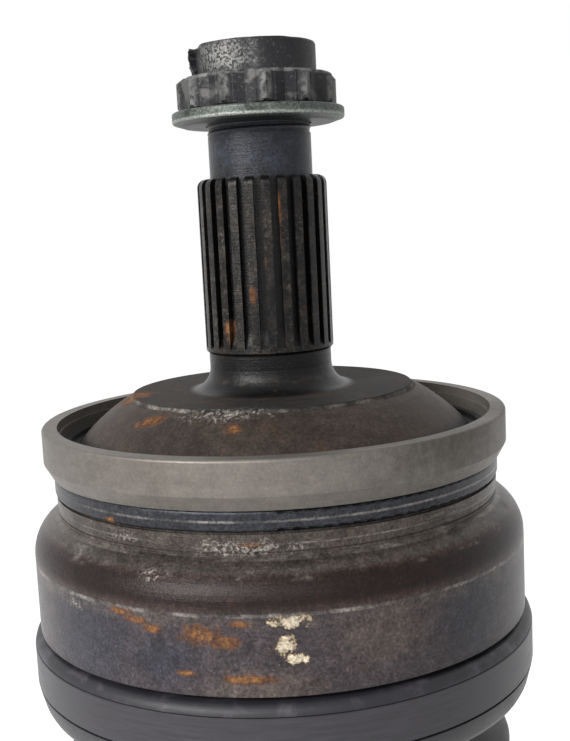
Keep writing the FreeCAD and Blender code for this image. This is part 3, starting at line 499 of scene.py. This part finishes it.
    dull = f.either(rust, stain, flakes)
    s = housingSurface
    roughness = calc(tree, "ADD", s["smooth"], calc(tree, "MULTIPLY", pits, s["grain"]))
    matt = f.both(f.either(dull, flatTop, f.both(domeMask, s["domeMatt"])), s["matt"])
    roughness = calc(tree, "ADD", roughness, matt, clamp=True)
    sheen = f.marks(neckSheen, 0.5)
    bareNeck = f.both(f.both(outside, f.band(*z["bareNeck"], 0.8)), s["bareNeck"])
    bare = f.either(f.both(worn, s["bareWear"]), f.both(sheen, s["bareSheen"]), bareNeck)
    metallic = calc(tree, "ADD", s["metal"], bare)
    metallic = calc(tree, "SUBTRACT", metallic, f.either(dull, flatTop), clamp=True)
    smoother = calc(tree, "MULTIPLY", sheen, s["sheenSmooth"])
    roughness = calc(tree, "SUBTRACT", roughness, smoother, clamp=True)
    height = calc(tree, "ADD", f.both(lines["Lines"], s["lineHeight"]), f.both(pits, s["pitHeight"]))
    raised = calc(tree, "MULTIPLY", f.either(flakes, f.both(stain, s["stainHeight"])), s["raised"])
    height = calc(tree, "ADD", height, raised)
    return f.finish(colour, roughness, metallic, height, s["bump"])


def turnedSteel(name, light, dark, rough, metal, pitch=2.6):
    f = Finish(name)
    tree = f.tree
    lines = useGroup(tree, toolMarks, Point=f.point, Radius=f.radius, Height=f.height, Pitch=pitch)
    streaks = remap(tree, lines["Brushed"], 0.2, 0.8)
    colour = f.paint(streaks, tone(dark), tone(light))
    colour = f.paint(f.patch(0.1, 0.5, 0.35), colour, tone(dark), strength=0.6)
    specks = f.both(f.patch(2.2, 0.36, 0.1, 3.0), 0.5)
    colour = f.paint(specks, colour, tone("#3a3632"))
    roughness = calc(tree, "ADD", rough, calc(tree, "MULTIPLY", streaks, 0.14))
    height = calc(tree, "ADD", lines["Lines"], calc(tree, "MULTIPLY", specks, 0.4))
    return f.finish(colour, roughness, metal, height, 0.02)


# zones of the other pieces, written like the housing's
zones = {
    "ringBevel": (4.6, 6.0), "ringStain": (-5.4, -3.9), "ringInner": (-6.0, 4.9),
    "ringInnerOut": (44.0, 47.6), "nutCornerOut": (16.3, 17.6), "nutTopEdge": (65.6, 66.9),
    "nutFaces": (59.0, 66.6), "nutTeal": (58.0, 67.0), "washerTopEdge": (57.1, 58.2),
    "washerUnder": (50.0, 57.0), "washerUnderOut": (10.0, 17.4), "bootStreak": (-54.0, -49.0),
}

# the pressed ring: pale with fine specks, and a dark stain that climbs unevenly from its foot; painted shade
# on its right side and a painted highlight at its front left
ringRightShade = [(44.0, 0.8, 50.7, 24.0, (1.0, 1.0, 0.8)), (76.0, -1.0, 50.7, 16.0, (1.0, 1.0, 0.8))]
ringPolishAndHighlight = [(-22.0, 1.6, 50.7, 22.0, (1.0, 1.0, 0.4)), (-2.0, 1.0, 50.7, 15.0, (1.0, 1.0, 0.3))]


def ringSteel():
    f = Finish("ringSteel")
    tree = f.tree
    lines = useGroup(tree, toolMarks, Point=f.point, Radius=f.radius, Height=f.height, Pitch=1.4)
    pits = useGroup(tree, grain, Point=f.point, Scale=1.1)["Grain"]
    streaks = f.both(remap(tree, lines["Brushed"], 0.3, 0.75), 0.5)
    colour = f.paint(streaks, tone("#d2ccc3"), tone("#aba59c"))
    colour = f.paint(f.patch(0.05, 0.55, 0.35), colour, tone("#989187"), strength=0.6)
    # painted shade darkening the ring's right side
    colour = f.paint(f.marks(ringRightShade, 0.4), colour, tone("#57514a"), strength=0.92)
    # painted highlight at the ring's front left; the same marks also make it smoother
    polishAndHighlight = f.marks(ringPolishAndHighlight, 0.5)
    colour = f.paint(polishAndHighlight, colour, tone("#ded8ce"), strength=0.75)
    # painted highlight along the ring's top bevel
    bevelHighlight = f.both(f.band(*zones["ringBevel"], 0.3), f.patch(0.05, 0.66, 0.3, 12.0))
    colour = f.paint(bevelHighlight, colour, tone("#ded8ce"), strength=0.6)
    climb = noiseOf(tree, f.point, scale=0.12, detail=5.0, roughness=0.7)
    level = calc(tree, "SUBTRACT", f.height, calc(tree, "MULTIPLY", climb, 5.0))
    stain = remap(tree, level, *zones["ringStain"], 1.0, 0.0)
    colour = f.paint(stain, colour, tone("#37322e"), strength=0.8)
    specks = f.both(f.patch(1.9, 0.36, 0.1, 3.0), 0.45)
    colour = f.paint(specks, colour, tone("#443f3a"))
    # painted shade on the ring's inner face, down in the recess
    inner = f.band(*zones["ringInnerOut"], 0.4, f.radius)
    colour = f.paint(f.both(inner, f.band(*zones["ringInner"], 0.5)), colour, tone("#151415"))
    colour = f.shade(colour, pits, 0.3, 0.7, 0.86, 1.12)
    mottle = noiseOf(tree, f.point, scale=0.25, detail=6.0, roughness=0.75)
    colour = f.shade(colour, mottle, 0.25, 0.75, 0.82, 1.12)
    roughness = calc(tree, "ADD", 0.2, calc(tree, "MULTIPLY", f.either(stain, specks), 0.3))
    roughness = calc(tree, "SUBTRACT", roughness, calc(tree, "MULTIPLY", polishAndHighlight, 0.08))
    height = calc(tree, "SUBTRACT", calc(tree, "MULTIPLY", pits, 0.6), specks)
    return f.finish(colour, roughness, 0.5, height, 0.03)


collarSilver = [(-34.0, 70.2, 12.9, 7.5, (1.2, 1.0, 0.6))]


def nutSteel():
    f = Finish("nutSteel", **{"Specular IOR Level": 0.25})
    tree = f.tree
    pits = useGroup(tree, grain, Point=f.point, Scale=1.8)["Grain"]
    base = f.paint(f.patch(0.2, 0.6, 0.35), tone("#262629"), tone("#0e0e11"))
    silver = f.both(f.patch(1.9, 0.6, 0.16, 5.0), f.marks(collarSilver, 0.5))
    corner = f.both(f.band(*zones["nutCornerOut"], 0.5, f.radius), f.patch(0.6, 0.66, 0.3, 2.0))
    topEdge = f.both(f.band(*zones["nutTopEdge"], 0.4), f.patch(0.5, 0.62, 0.2, 27.0))
    corner = f.either(corner, topEdge)
    faceTone = f.both(f.patch(0.13, 0.5, 0.1, 51.0), f.band(*zones["nutFaces"], 0.5))
    speck = f.both(f.patch(1.7, 0.42, 0.12, 6.0), 0.35)
    pale = f.either(f.both(silver, 0.85), f.both(corner, 0.5), f.both(faceTone, 0.3), speck)
    colour = f.paint(pale, base, tone("#8d8d8b"))
    teal = f.both(f.patch(0.5, 0.42, 0.2, 12.0), f.band(*zones["nutTeal"], 0.6))
    colour = f.paint(teal, colour, tone("#3e4a48"), strength=0.5)
    roughness = calc(tree, "ADD", 0.32, calc(tree, "MULTIPLY", pits, 0.3))
    height = calc(tree, "ADD", pits, calc(tree, "MULTIPLY", silver, 0.4))
    return f.finish(colour, roughness, 0.35, height, 0.12)


# the washer: speckled grey-green side with a painted highlight along its top edge, and painted shade on the
# foot turned in under the flange
def washerSteel():
    f = Finish("washerSteel", **{"Specular IOR Level": 0.3})
    tree = f.tree
    pits = useGroup(tree, grain, Point=f.point, Scale=1.2)["Grain"]
    colour = f.paint(f.patch(0.3, 0.55, 0.3), tone("#575c58"), tone("#2f3331"))
    colour = f.paint(f.patch(1.8, 0.5, 0.1, 3.0), colour, tone("#2a2c2b"), strength=0.7)
    # painted highlight along the washer's top edge
    colour = f.paint(f.band(*zones["washerTopEdge"], 0.5), colour, tone("#a7aaa5"), strength=0.5)
    # painted shade on the washer's foot under the flange
    shadeUnderFlange = f.either(
        f.band(*zones["washerUnder"], 0.25), f.band(*zones["washerUnderOut"], 0.4, f.radius))
    colour = f.shade(colour, pits, 0.33, 0.67, 0.55, 1.5)
    colour = f.paint(shadeUnderFlange, colour, tone("#1c1d1f"), strength=0.85)
    roughness = calc(tree, "ADD", 0.34, calc(tree, "MULTIPLY", pits, 0.25))
    return f.finish(colour, roughness, 0.55, pits, 0.07)


def bootRubber():
    f = Finish("bootRubber", **{"Specular IOR Level": 0.3})
    tree = f.tree
    pits = useGroup(tree, grain, Point=f.point, Scale=1.8)["Grain"]
    dust = f.both(f.patch(0.06, 0.5, 0.35), 0.5)
    colour = f.paint(dust, tone("#242328"), tone("#3c3a40"))
    streak = f.both(f.band(*zones["bootStreak"], 1.2), f.patch(0.16, 0.55, 0.3, 5.0))
    colour = f.paint(streak, colour, tone("#64616a"), strength=0.6)
    colour = f.paint(f.patch(0.8, 0.35, 0.15, 9.0), colour, tone("#5d5751"), strength=0.35)
    roughness = calc(tree, "ADD", 0.42, calc(tree, "MULTIPLY", dust, 0.5))
    return f.finish(colour, roughness, 0.0, pits, 0.06)


def barPaint():
    f = Finish("barPaint")
    tree = f.tree
    pits = useGroup(tree, grain, Point=f.point, Scale=1.2)["Grain"]
    chips = f.both(f.patch(0.3, 0.36, 0.06, 4.0), f.patch(0.06, 0.5, 0.3))
    colour = f.paint(f.patch(0.1, 0.5, 0.3), tone("#1f2023"), tone("#2b2c30"))
    colour = f.paint(chips, colour, tone("#5b4030"))
    roughness = calc(tree, "ADD", 0.36, calc(tree, "MULTIPLY", chips, 0.4))
    height = calc(tree, "SUBTRACT", calc(tree, "MULTIPLY", pits, 0.4), chips)
    return f.finish(colour, roughness, 0.15, height, 0.07)


print("materials")
materials = {
    "forged": forgedHousing(),
    "ring": ringSteel(),
    "washer": washerSteel(),
    "nut": nutSteel(),
    "bearing": turnedSteel("bearingSteel", "#a9a8a6", "#7f7d7a", 0.18, 0.9, 3.5),
    "clamp": turnedSteel("clampSteel", "#38363d", "#222024", 0.34, 0.25, 3.0),
    "spring": turnedSteel("springSteel", "#6f6d6b", "#413f3e", 0.35, 0.7, 4.0),
    "can": turnedSteel("canSteel", "#6a6560", "#3b3634", 0.42, 0.6, 1.6),
    "bar": barPaint(),
    "boot": bootRubber(),
}
slotFinish = {
    "forged_steel": "forged", "nut_steel": "nut", "washer_steel": "washer", "ring_steel": "ring",
    "bearing_steel": "bearing", "bar_paint": "bar", "boot_rubber": "boot", "clamp_steel": "clamp",
    "spring_steel": "spring",
}
for part in frame["record"]["subparts"]:
    finish = "can" if part["node"] == "inner_joint_housing" else slotFinish[part["material_slot"]]
    for slotPlace in nodes[part["node"]].material_slots:
        slotPlace.material = materials[finish]


# mesh helpers
weldReach = 0.005


def shifted(base, change):
    return lambda turn: base(turn) + change


def dressed(bm, name, body, finish, crisp=38.0):
    bmesh.ops.remove_doubles(bm, verts=bm.verts, dist=weldReach * mm)
    bmesh.ops.recalc_face_normals(bm, faces=bm.faces)
    mesh = bpy.data.meshes.new(name)
    bm.to_mesh(mesh)
    bm.free()
    mesh.shade_smooth()
    mesh.set_sharp_from_angle(angle=math.radians(crisp))
    piece = bpy.data.objects.new(name, mesh)
    bpy.context.scene.collection.objects.link(piece)
    mesh.materials.append(materials[finish])
    if body:
        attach(piece, body)
    return piece


# rings of one outline, each (radius, height) in millimetres or a function of the turn
def ringStack(bm, rings, columns, closed=True):
    def shape(loop, ring):
        radius, height = ring
        for vert in loop:
            turn = math.atan2(vert.co.y, vert.co.x)
            reach = radius(turn) if callable(radius) else radius
            level = height(turn) if callable(height) else height
            vert.co = Vector((reach * math.cos(turn), reach * math.sin(turn), level)) * mm

    made = bmesh.ops.create_circle(bm, cap_ends=False, segments=columns, radius=10 * mm)
    loop = made["verts"]
    shape(loop, rings[0])
    first = [edge for edge in bm.edges if edge.verts[0] in loop]
    edges = first
    for ring in rings[1:]:
        grown = bmesh.ops.extrude_edge_only(bm, edges=edges)["geom"]
        loop = [item for item in grown if isinstance(item, bmesh.types.BMVert)]
        edges = [item for item in grown if isinstance(item, bmesh.types.BMEdge)
                 and item.verts[0] in loop and item.verts[1] in loop]
        shape(loop, ring)
    if closed:
        bmesh.ops.bridge_loops(bm, edges=first + edges)


def steps(first, last, count):
    return [first + (last - first) * number / count for number in range(count + 1)]


# thread run-out that shows between the washer and the neck, and the start of it at the stem's end
thread = {
    "crest": 11.12, "root": 10.75, "pitch": 1.5, "columns": 72, "foot": 54.2, "turns": 11.3,
    "rootHalf": 0.92, "crestHalf": 0.12,
}


def stemThread():
    bm = bmesh.new()
    half = thread["pitch"] / 2
    foot, tip = half * thread["rootHalf"], half * thread["crestHalf"]
    outline = (
        (thread["root"], -foot), (thread["crest"], -tip), (thread["crest"], tip), (thread["root"], foot))
    corners = [bm.verts.new(Vector((radius, 0, thread["foot"] + rise)) * mm) for radius, rise in outline]
    edges = [bm.edges.new(pair) for pair in zip(corners, corners[1:] + corners[:1])]
    around = int(thread["columns"] * thread["turns"])
    bmesh.ops.spin(
        bm, geom=corners + edges, cent=(0, 0, 0), axis=(0, 0, 1),
        dvec=(0, 0, thread["pitch"] * mm / thread["columns"]), angle=math.tau * thread["turns"],
        steps=around, use_merge=False)
    rims = [edge for edge in bm.edges if edge.is_boundary]
    bmesh.ops.holes_fill(bm, edges=rims, sides=4)
    return dressed(bm, "stem_thread", "outer_housing", "forged")


print("thread")
stemThread()

# twelve-point nut with the staking collar
nut = {
    "acrossFlats": 30.0, "turn": 7.0, "foot": nodeSpan("hub_nut")[0] / mm,
    "top": nodeSpan("hub_nut")[1] / mm,
    "bodyHeight": 6.8, "chamfer": 1.35, "chamferRise": 0.8, "collar": 12.9, "bore": 11.2,
    "columns": 360, "round": 0.15, "roundFrom": 16.4, "crisp": 20.0, "boreTop": 3.0, "rimDrop": 0.25,
    "rimRipple": 0.12, "sideRipple": 0.15, "tear": (168, 9, 1.3), "stake": (95, 7, 0.35),
}
# the collar's rings above the nut, then those of its rim, each as (outward, up) in millimetres
collarRings = ((0.8, 0.0), (0.25, 0.2), (0.0, 0.9), (0.0, 3.0))
rimRings = ((0.0, -0.5), (-0.2, -0.1), (-0.6, 0.0), (-1.1, 0.0), (-1.4, -0.4))
cutSteps = (0.0, 0.4, 0.8)


def starReach(turn):
    widest = 0
    for half in range(2):
        offset = (math.degrees(turn) - nut["turn"] - 30 * half) % 60 - 30
        widest = max(widest, nut["acrossFlats"] / 2 / math.cos(math.radians(offset)))
    return widest


# a mark on the collar: its angle in degrees, counted clockwise from above, its width and its depth
def markAt(turn, mark):
    centre, width, depth = mark
    return depth * math.exp(-((math.degrees(turn) + centre) / width) ** 2)


def ripple(turn, size, waves, row):
    return size * noise.noise(Vector((waves * math.cos(turn), waves * math.sin(turn), row)))


def hubNut():
    corner = nut["acrossFlats"] / 2 / math.cos(math.radians(30))
    low, high = nut["foot"], nut["foot"] + nut["bodyHeight"]
    cutLevel = corner - nut["chamfer"]

    def trimmed(rise):
        limit = cutLevel + nut["chamfer"] * min(rise / nut["chamferRise"], 1)
        return lambda turn: min(
            starReach(turn) - nut["round"] * (starReach(turn) > nut["roundFrom"]), limit)

    def rim(turn):
        edge = nut["top"] - nut["rimDrop"] + ripple(turn, nut["rimRipple"], 3, 5)
        return edge - markAt(turn, nut["tear"])

    def dented(turn):
        side = nut["collar"] + ripple(turn, nut["sideRipple"], 2, 1)
        return side - markAt(turn, nut["stake"])

    rings = [(nut["bore"], low)]
    rings += [(trimmed(rise), low + rise) for rise in cutSteps]
    rings += [(trimmed(rise), high - rise) for rise in reversed(cutSteps)]
    rings += [(shifted(dented, outward), high + rise) for outward, rise in collarRings]
    rings += [(shifted(dented, outward), shifted(rim, rise)) for outward, rise in rimRings]
    rings += [(nut["bore"], high + nut["boreTop"])]
    bm = bmesh.new()
    ringStack(bm, rings, nut["columns"])
    piece = dressed(bm, "twelve_point_nut", "outer_housing", "nut", nut["crisp"])
    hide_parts("hub_nut")
    return piece


# the strip torn out of the collar where it was staked
tab = {
    "angle": -172.0, "radius": 13.1, "foot": 66.9, "rise": 5.9, "width": 2.8, "thick": 1.7, "lean": 1.3,
    "narrowing": 0.45, "waist": 0.22, "waistWaves": 9, "jag": 0.35, "lump": 0.45, "lumpScale": 0.9,
    "seed": 18,
}


def tornTab():
    bm = bmesh.new()
    bmesh.ops.create_grid(bm, x_segments=6, y_segments=14, size=0.5)
    for vert in bm.verts:
        across, along = vert.co.x, vert.co.y + 0.5
        narrow = 1 - tab["narrowing"] * along + tab["waist"] * math.sin(tab["waistWaves"] * along)
        jag = tab["jag"] * noise.noise(Vector((across * 4, along * 6, 2)))
        outward = tab["lean"] * (math.sin(along * 2.6) * 0.75 + 0.25 * along) + jag * 0.6
        vert.co = Vector((tab["radius"] + outward, across * tab["width"] * narrow + jag * 0.5,
                          tab["foot"] + along * tab["rise"] + jag * 0.5)) * mm
    turn = Matrix.Rotation(math.radians(tab["angle"]), 3, "Z")
    bmesh.ops.rotate(bm, cent=(0, 0, 0), matrix=turn, verts=bm.verts)
    bmesh.ops.solidify(bm, geom=bm.faces[:], thickness=tab["thick"] * mm)
    # noise_vector takes its place from a seed that otherwise changes from run to run
    noise.seed_set(tab["seed"])
    for vert in bm.verts:
        vert.co += tab["lump"] * mm * noise.noise_vector(vert.co / mm * tab["lumpScale"])
    return dressed(bm, "torn_stake_tab", "outer_housing", "nut")


print("nut")
hubNut()
tornTab()

# boots: a clamped collar, falling folds and a small collar, each cut into lengths
boot = {
    "wall": 2.8, "lipRound": 2.4, "columns": 160, "foldSteps": 14, "recess": 0.6, "recessStart": 2.2,
    "recessWidth": 8.4, "smallRecess": 2.8, "smallRecessWidth": 7.4, "sleeve": 14.2, "step": 0.2,
    "collarEase": 0.6, "neckEase": 0.8, "foldGap": 3, "seatGap": 1.5, "joinGap": 0.3,
}
outerBoot = {
    "top": -49.6, "way": -1, "collar": 55.3, "collarLength": 11.6, "seat": 51.6, "small": 18.2,
    "smallStart": 97.4, "smallLength": 13.0, "folds": 5, "firstFold": 14.5, "pitch": 17.0,
    "crest": (54.4, 27.5), "valley": (43.5, 21.5),
    "chain": ["outer_housing", "back_ball", "cage", "front_ball", "bar"],
    "cuts": (23.0, 40.0, 57.0), "still": (13.0, 85.0), "swell": 1.3, "name": "outer_boot",
}
innerBoot = {
    "top": -327.0, "way": 1, "collar": 48.4, "collarLength": 12.0, "seat": 44.7, "small": 18.2,
    "smallStart": 98.0, "smallLength": 13.0, "folds": 4, "firstFold": 21.0, "pitch": 17.0,
    "crest": (46.5, 27.0), "valley": (38.0, 22.0),
    "chain": ["inner_housing", "thrust_cup", "roller_a", "bar"],
    "cuts": (46.5, 55.0), "still": (13.0, 72.0), "swell": 2.5, "name": "inner_boot",
}


# the skin's outside radius at a depth below the boot's top edge
def foldRadius(b, depth):
    place = (depth - b["firstFold"]) / b["pitch"]
    share = min(max(place / (b["folds"] - 1), 0), 1) ** b["swell"]
    crest = b["crest"][0] + (b["crest"][1] - b["crest"][0]) * share
    valley = b["valley"][0] + (b["valley"][1] - b["valley"][0]) * share
    swing = math.cos(math.tau * place)
    return valley + (crest - valley) * (0.5 + 0.5 * swing)


def bootOutline(b):
    r, s = b["collar"], boot
    grow = s["recessStart"] + s["recessWidth"]
    turnIn = [
        (r - s["lipRound"] * (1 - math.sin(angle)), s["lipRound"] * (1 - math.cos(angle)))
        for angle in steps(0, math.pi / 2, 5)]
    outside = turnIn[:-1] + [(r, s["recessStart"]), (r - s["recess"], s["recessStart"] + s["step"]),
                             (r - s["recess"], grow), (r, grow + s["step"]),
                             (r, b["collarLength"] - s["collarEase"])]
    end = b["smallStart"]
    lastDepth = min(b["firstFold"] + b["pitch"] * b["folds"] - b["pitch"] / 2, end - s["foldGap"])
    count = b["folds"] * s["foldSteps"]
    folds = [(foldRadius(b, depth), depth) for depth in steps(b["firstFold"], lastDepth, count)]
    small = b["small"]
    neck = [(small, end), (small, end + s["smallRecess"]),
            (small - s["recess"], end + s["smallRecess"] + s["step"]),
            (small - s["recess"], end + s["smallRecess"] + s["smallRecessWidth"]),
            (small, end + s["smallRecess"] + s["smallRecessWidth"] + s["step"]),
            (small, end + b["smallLength"] - s["neckEase"]),
            (small - s["neckEase"], end + b["smallLength"])]
    return outside + folds + neck


def bootLength(b, number, outline):
    edges = [0] + list(b["cuts"]) + [b["smallStart"] + b["smallLength"]]
    low, high = edges[number], edges[number + 1]
    last = number == len(b["chain"]) - 2
    gap = boot["joinGap"]
    skin = [place for place in outline if low - 0.01 <= place[1] <= high + 0.01]
    if number:
        skin = [(foldRadius(b, low), low)] + [place for place in skin if place[1] > low + gap]
    if not last:
        skin = [place for place in skin if place[1] < high - gap] + [(foldRadius(b, high), high)]

    def inside(radius, depth):
        if depth <= b["collarLength"]:
            return b["seat"]
        return max(min(radius - boot["wall"], b["seat"] - boot["seatGap"]), boot["sleeve"])

    lining = [(inside(*place), place[1]) for place in reversed(skin)]
    rings = [(radius, b["top"] + b["way"] * depth) for radius, depth in skin + lining]
    bm = bmesh.new()
    ringStack(bm, rings, boot["columns"])
    piece = dressed(bm, "%s_%d" % (b["name"], number + 1), None, "boot")
    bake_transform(piece)
    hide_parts(b["name"])
    return piece


print("boots")
for b in (outerBoot, innerBoot):
    outline = bootOutline(b)
    for number in range(len(b["chain"]) - 1):
        bootLength(b, number, outline)

# the preload spring, coiled between the housing's floor and the cup
coil = {"wire": 0.6, "turns": 6, "columns": 60, "sides": 14}


def preloadSpring():
    low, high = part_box("preload_spring")
    reach = high.x / mm - coil["wire"]
    foot, top = low.z / mm + coil["wire"], high.z / mm - coil["wire"]
    bm = bmesh.new()
    made = bmesh.ops.create_circle(bm, cap_ends=False, segments=coil["sides"], radius=coil["wire"] * mm)
    ring = made["verts"]
    bmesh.ops.rotate(bm, cent=(0, 0, 0), matrix=Matrix.Rotation(math.pi / 2, 3, "X"), verts=ring)
    bmesh.ops.translate(bm, vec=(reach * mm, 0, foot * mm), verts=ring)
    around = coil["columns"] * coil["turns"]
    bmesh.ops.spin(
        bm, geom=ring + bm.edges[:], cent=(0, 0, 0), axis=(0, 0, 1), dvec=(0, 0, (top - foot) * mm / around),
        angle=math.tau * coil["turns"], steps=around, use_merge=False)
    bmesh.ops.holes_fill(bm, edges=[edge for edge in bm.edges if edge.is_boundary], sides=coil["sides"])
    piece = dressed(bm, "preload_coil", None, "spring")
    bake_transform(piece)
    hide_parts("preload_spring")
    return piece


print("spring")
preloadSpring()

# clamps: a thin band that laps over itself, with a pinched ear at the back
clampShape = {
    "thick": 0.7, "edge": 0.18, "columns": 144, "lap": 0.35, "lapStart": 6, "lapEnd": 40,
    "earWidth": 6.0, "earSpan": 8.0, "earRise": 2.5, "earWall": 0.7, "earNeck": 0.62, "earGap": 0.2,
    "earRoot": 0.55, "earSpread": 0.45, "earTop": 0.8,
}


def clampBand(node, name, body):
    c = clampShape
    low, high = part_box(node)
    radius = -low.x / mm - c["thick"]
    foot, top = low.z / mm, high.z / mm
    outer = radius + c["thick"]
    edge = c["edge"]

    def lapped(turn):
        away = math.degrees(turn) - 90
        return c["lap"] if c["lapStart"] < away < c["lapEnd"] else 0.0

    bm = bmesh.new()
    ringStack(bm, [
        (radius, foot), (shifted(lapped, outer - edge), foot), (shifted(lapped, outer), foot + edge),
        (shifted(lapped, outer), top - edge), (shifted(lapped, outer - edge), top), (radius, top)],
        c["columns"])
    ear = bmesh.ops.create_grid(bm, x_segments=24, y_segments=2, size=0.5)["verts"]
    middle = (foot + top) / 2
    for vert in ear:
        along, across = vert.co.x * 2, vert.co.y
        pinch = 1 - min(abs(along) / c["earNeck"], 1) ** 3
        width = c["earSpan"] / 2 * along * (c["earRoot"] + c["earSpread"] * abs(along))
        rise = c["earRise"] * pinch * c["earTop"]
        vert.co = Vector((width, outer + c["earGap"] + rise, middle + across * c["earWidth"])) * mm
    earFaces = list({face for vert in ear for face in vert.link_faces})
    bmesh.ops.solidify(bm, geom=earFaces, thickness=c["earWall"] * mm)
    piece = dressed(bm, name, body, "clamp")
    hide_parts(node)
    return piece


print("clamps")
clampBand("outer_large_clamp", "outer_large_band", "outer_housing")
clampBand("outer_small_clamp", "outer_small_band", "bar")
clampBand("inner_large_clamp", "inner_large_band", "inner_housing")
clampBand("inner_small_clamp", "inner_small_band", "bar")

# floor, lights and camera
stageSizes = {"floor": 6.0, "drop": 0.0005, "ambient": 0.08, "floorTone": 0.86, "floorGlow": 0.95}
lampTone = (1.0, 0.985, 0.96)
lights = {
    "keyLight": {"power": 25.0, "size": 0.6, "place": (-0.85, -0.92, 0.6), "aim": (0, 0, 0)},
    "fillLight": {"power": 0.3, "size": 1.0, "place": (0.9, -0.9, 0.3), "aim": (0, 0, -0.05)},
    "frontLight": {"power": 4.2, "size": 0.16, "place": (-0.02, -1.4, 0.6), "aim": (0, 0, -0.01)},
}


def whiteForCamera(tree):
    rays = addNode(tree, "ShaderNodeLightPath").outputs
    seen = calc(tree, "ADD", rays["Is Camera Ray"], rays["Is Glossy Ray"])
    return calc(tree, "ADD", seen, rays["Is Transmission Ray"], clamp=True)


def studio():
    world = bpy.data.worlds.new("studio")
    bpy.context.scene.world = world
    world.use_nodes = True
    tree = world.node_tree
    tree.nodes.clear()
    white = whiteForCamera(tree)
    ambient = stageSizes["ambient"]
    strength = calc(tree, "ADD", ambient, calc(tree, "MULTIPLY", white, 1 - ambient))
    sky = addNode(tree, "ShaderNodeBackground", {"Color": (1, 1, 1, 1), "Strength": strength})
    addNode(tree, "ShaderNodeOutputWorld", {"Surface": sky.outputs[0]})

    paper = bpy.data.materials.new("paleFloor")
    paper.use_nodes = True
    tree = paper.node_tree
    tree.nodes.clear()
    pale = stageSizes["floorTone"]
    matt = addNode(tree, "ShaderNodeBsdfDiffuse", {"Color": (pale, pale, pale, 1)})
    glow = addNode(
        tree, "ShaderNodeEmission", {"Color": (1, 1, 1, 1), "Strength": stageSizes["floorGlow"]})
    lifted = addNode(tree, "ShaderNodeAddShader", {0: matt.outputs[0], 1: glow.outputs[0]})
    both = addNode(tree, "ShaderNodeMixShader", {
        0: whiteForCamera(tree), 1: matt.outputs[0], 2: lifted.outputs[0]})
    addNode(tree, "ShaderNodeOutputMaterial", {"Surface": both.outputs[0]})
    bm = bmesh.new()
    bmesh.ops.create_grid(bm, x_segments=4, y_segments=4, size=stageSizes["floor"])
    mesh = bpy.data.meshes.new("floor")
    bmesh.ops.translate(bm, vec=(0, 0, cadBox[0][2] - stageSizes["drop"]), verts=bm.verts)
    bm.to_mesh(mesh)
    bm.free()
    floor = bpy.data.objects.new("floor", mesh)
    bpy.context.scene.collection.objects.link(floor)
    mesh.materials.append(paper)


def softLight(name, power, size, place, aim):
    lamp = bpy.data.lights.new(name, "AREA")
    lamp.energy = power
    lamp.shape = "DISK"
    lamp.size = size
    lamp.color = lampTone
    made = bpy.data.objects.new(name, lamp)
    made.location = place
    made.rotation_euler = (Vector(aim) - Vector(place)).to_track_quat("-Z", "Y").to_euler()
    bpy.context.scene.collection.objects.link(made)


camera = {
    "place": (0.00302, -0.24254, 0.03666), "turn": (82.110, 2.813, -0.390), "lens": 53.665, "sensor": 36.0,
    "near": 0.01,
}


def photoCamera():
    data = bpy.data.cameras.new("camera")
    data.lens = camera["lens"]
    data.sensor_width = camera["sensor"]
    data.clip_start = camera["near"]
    data.dof.use_dof = False
    made = bpy.data.objects.new("camera", data)
    made.location = camera["place"]
    made.rotation_euler = [math.radians(angle) for angle in camera["turn"]]
    bpy.context.scene.collection.objects.link(made)
    bpy.context.scene.camera = made


print("studio")
studio()
for name, lamp in lights.items():
    softLight(name, **lamp)
photoCamera()
bpy.context.scene.view_settings.view_transform = "Standard"

print("done")
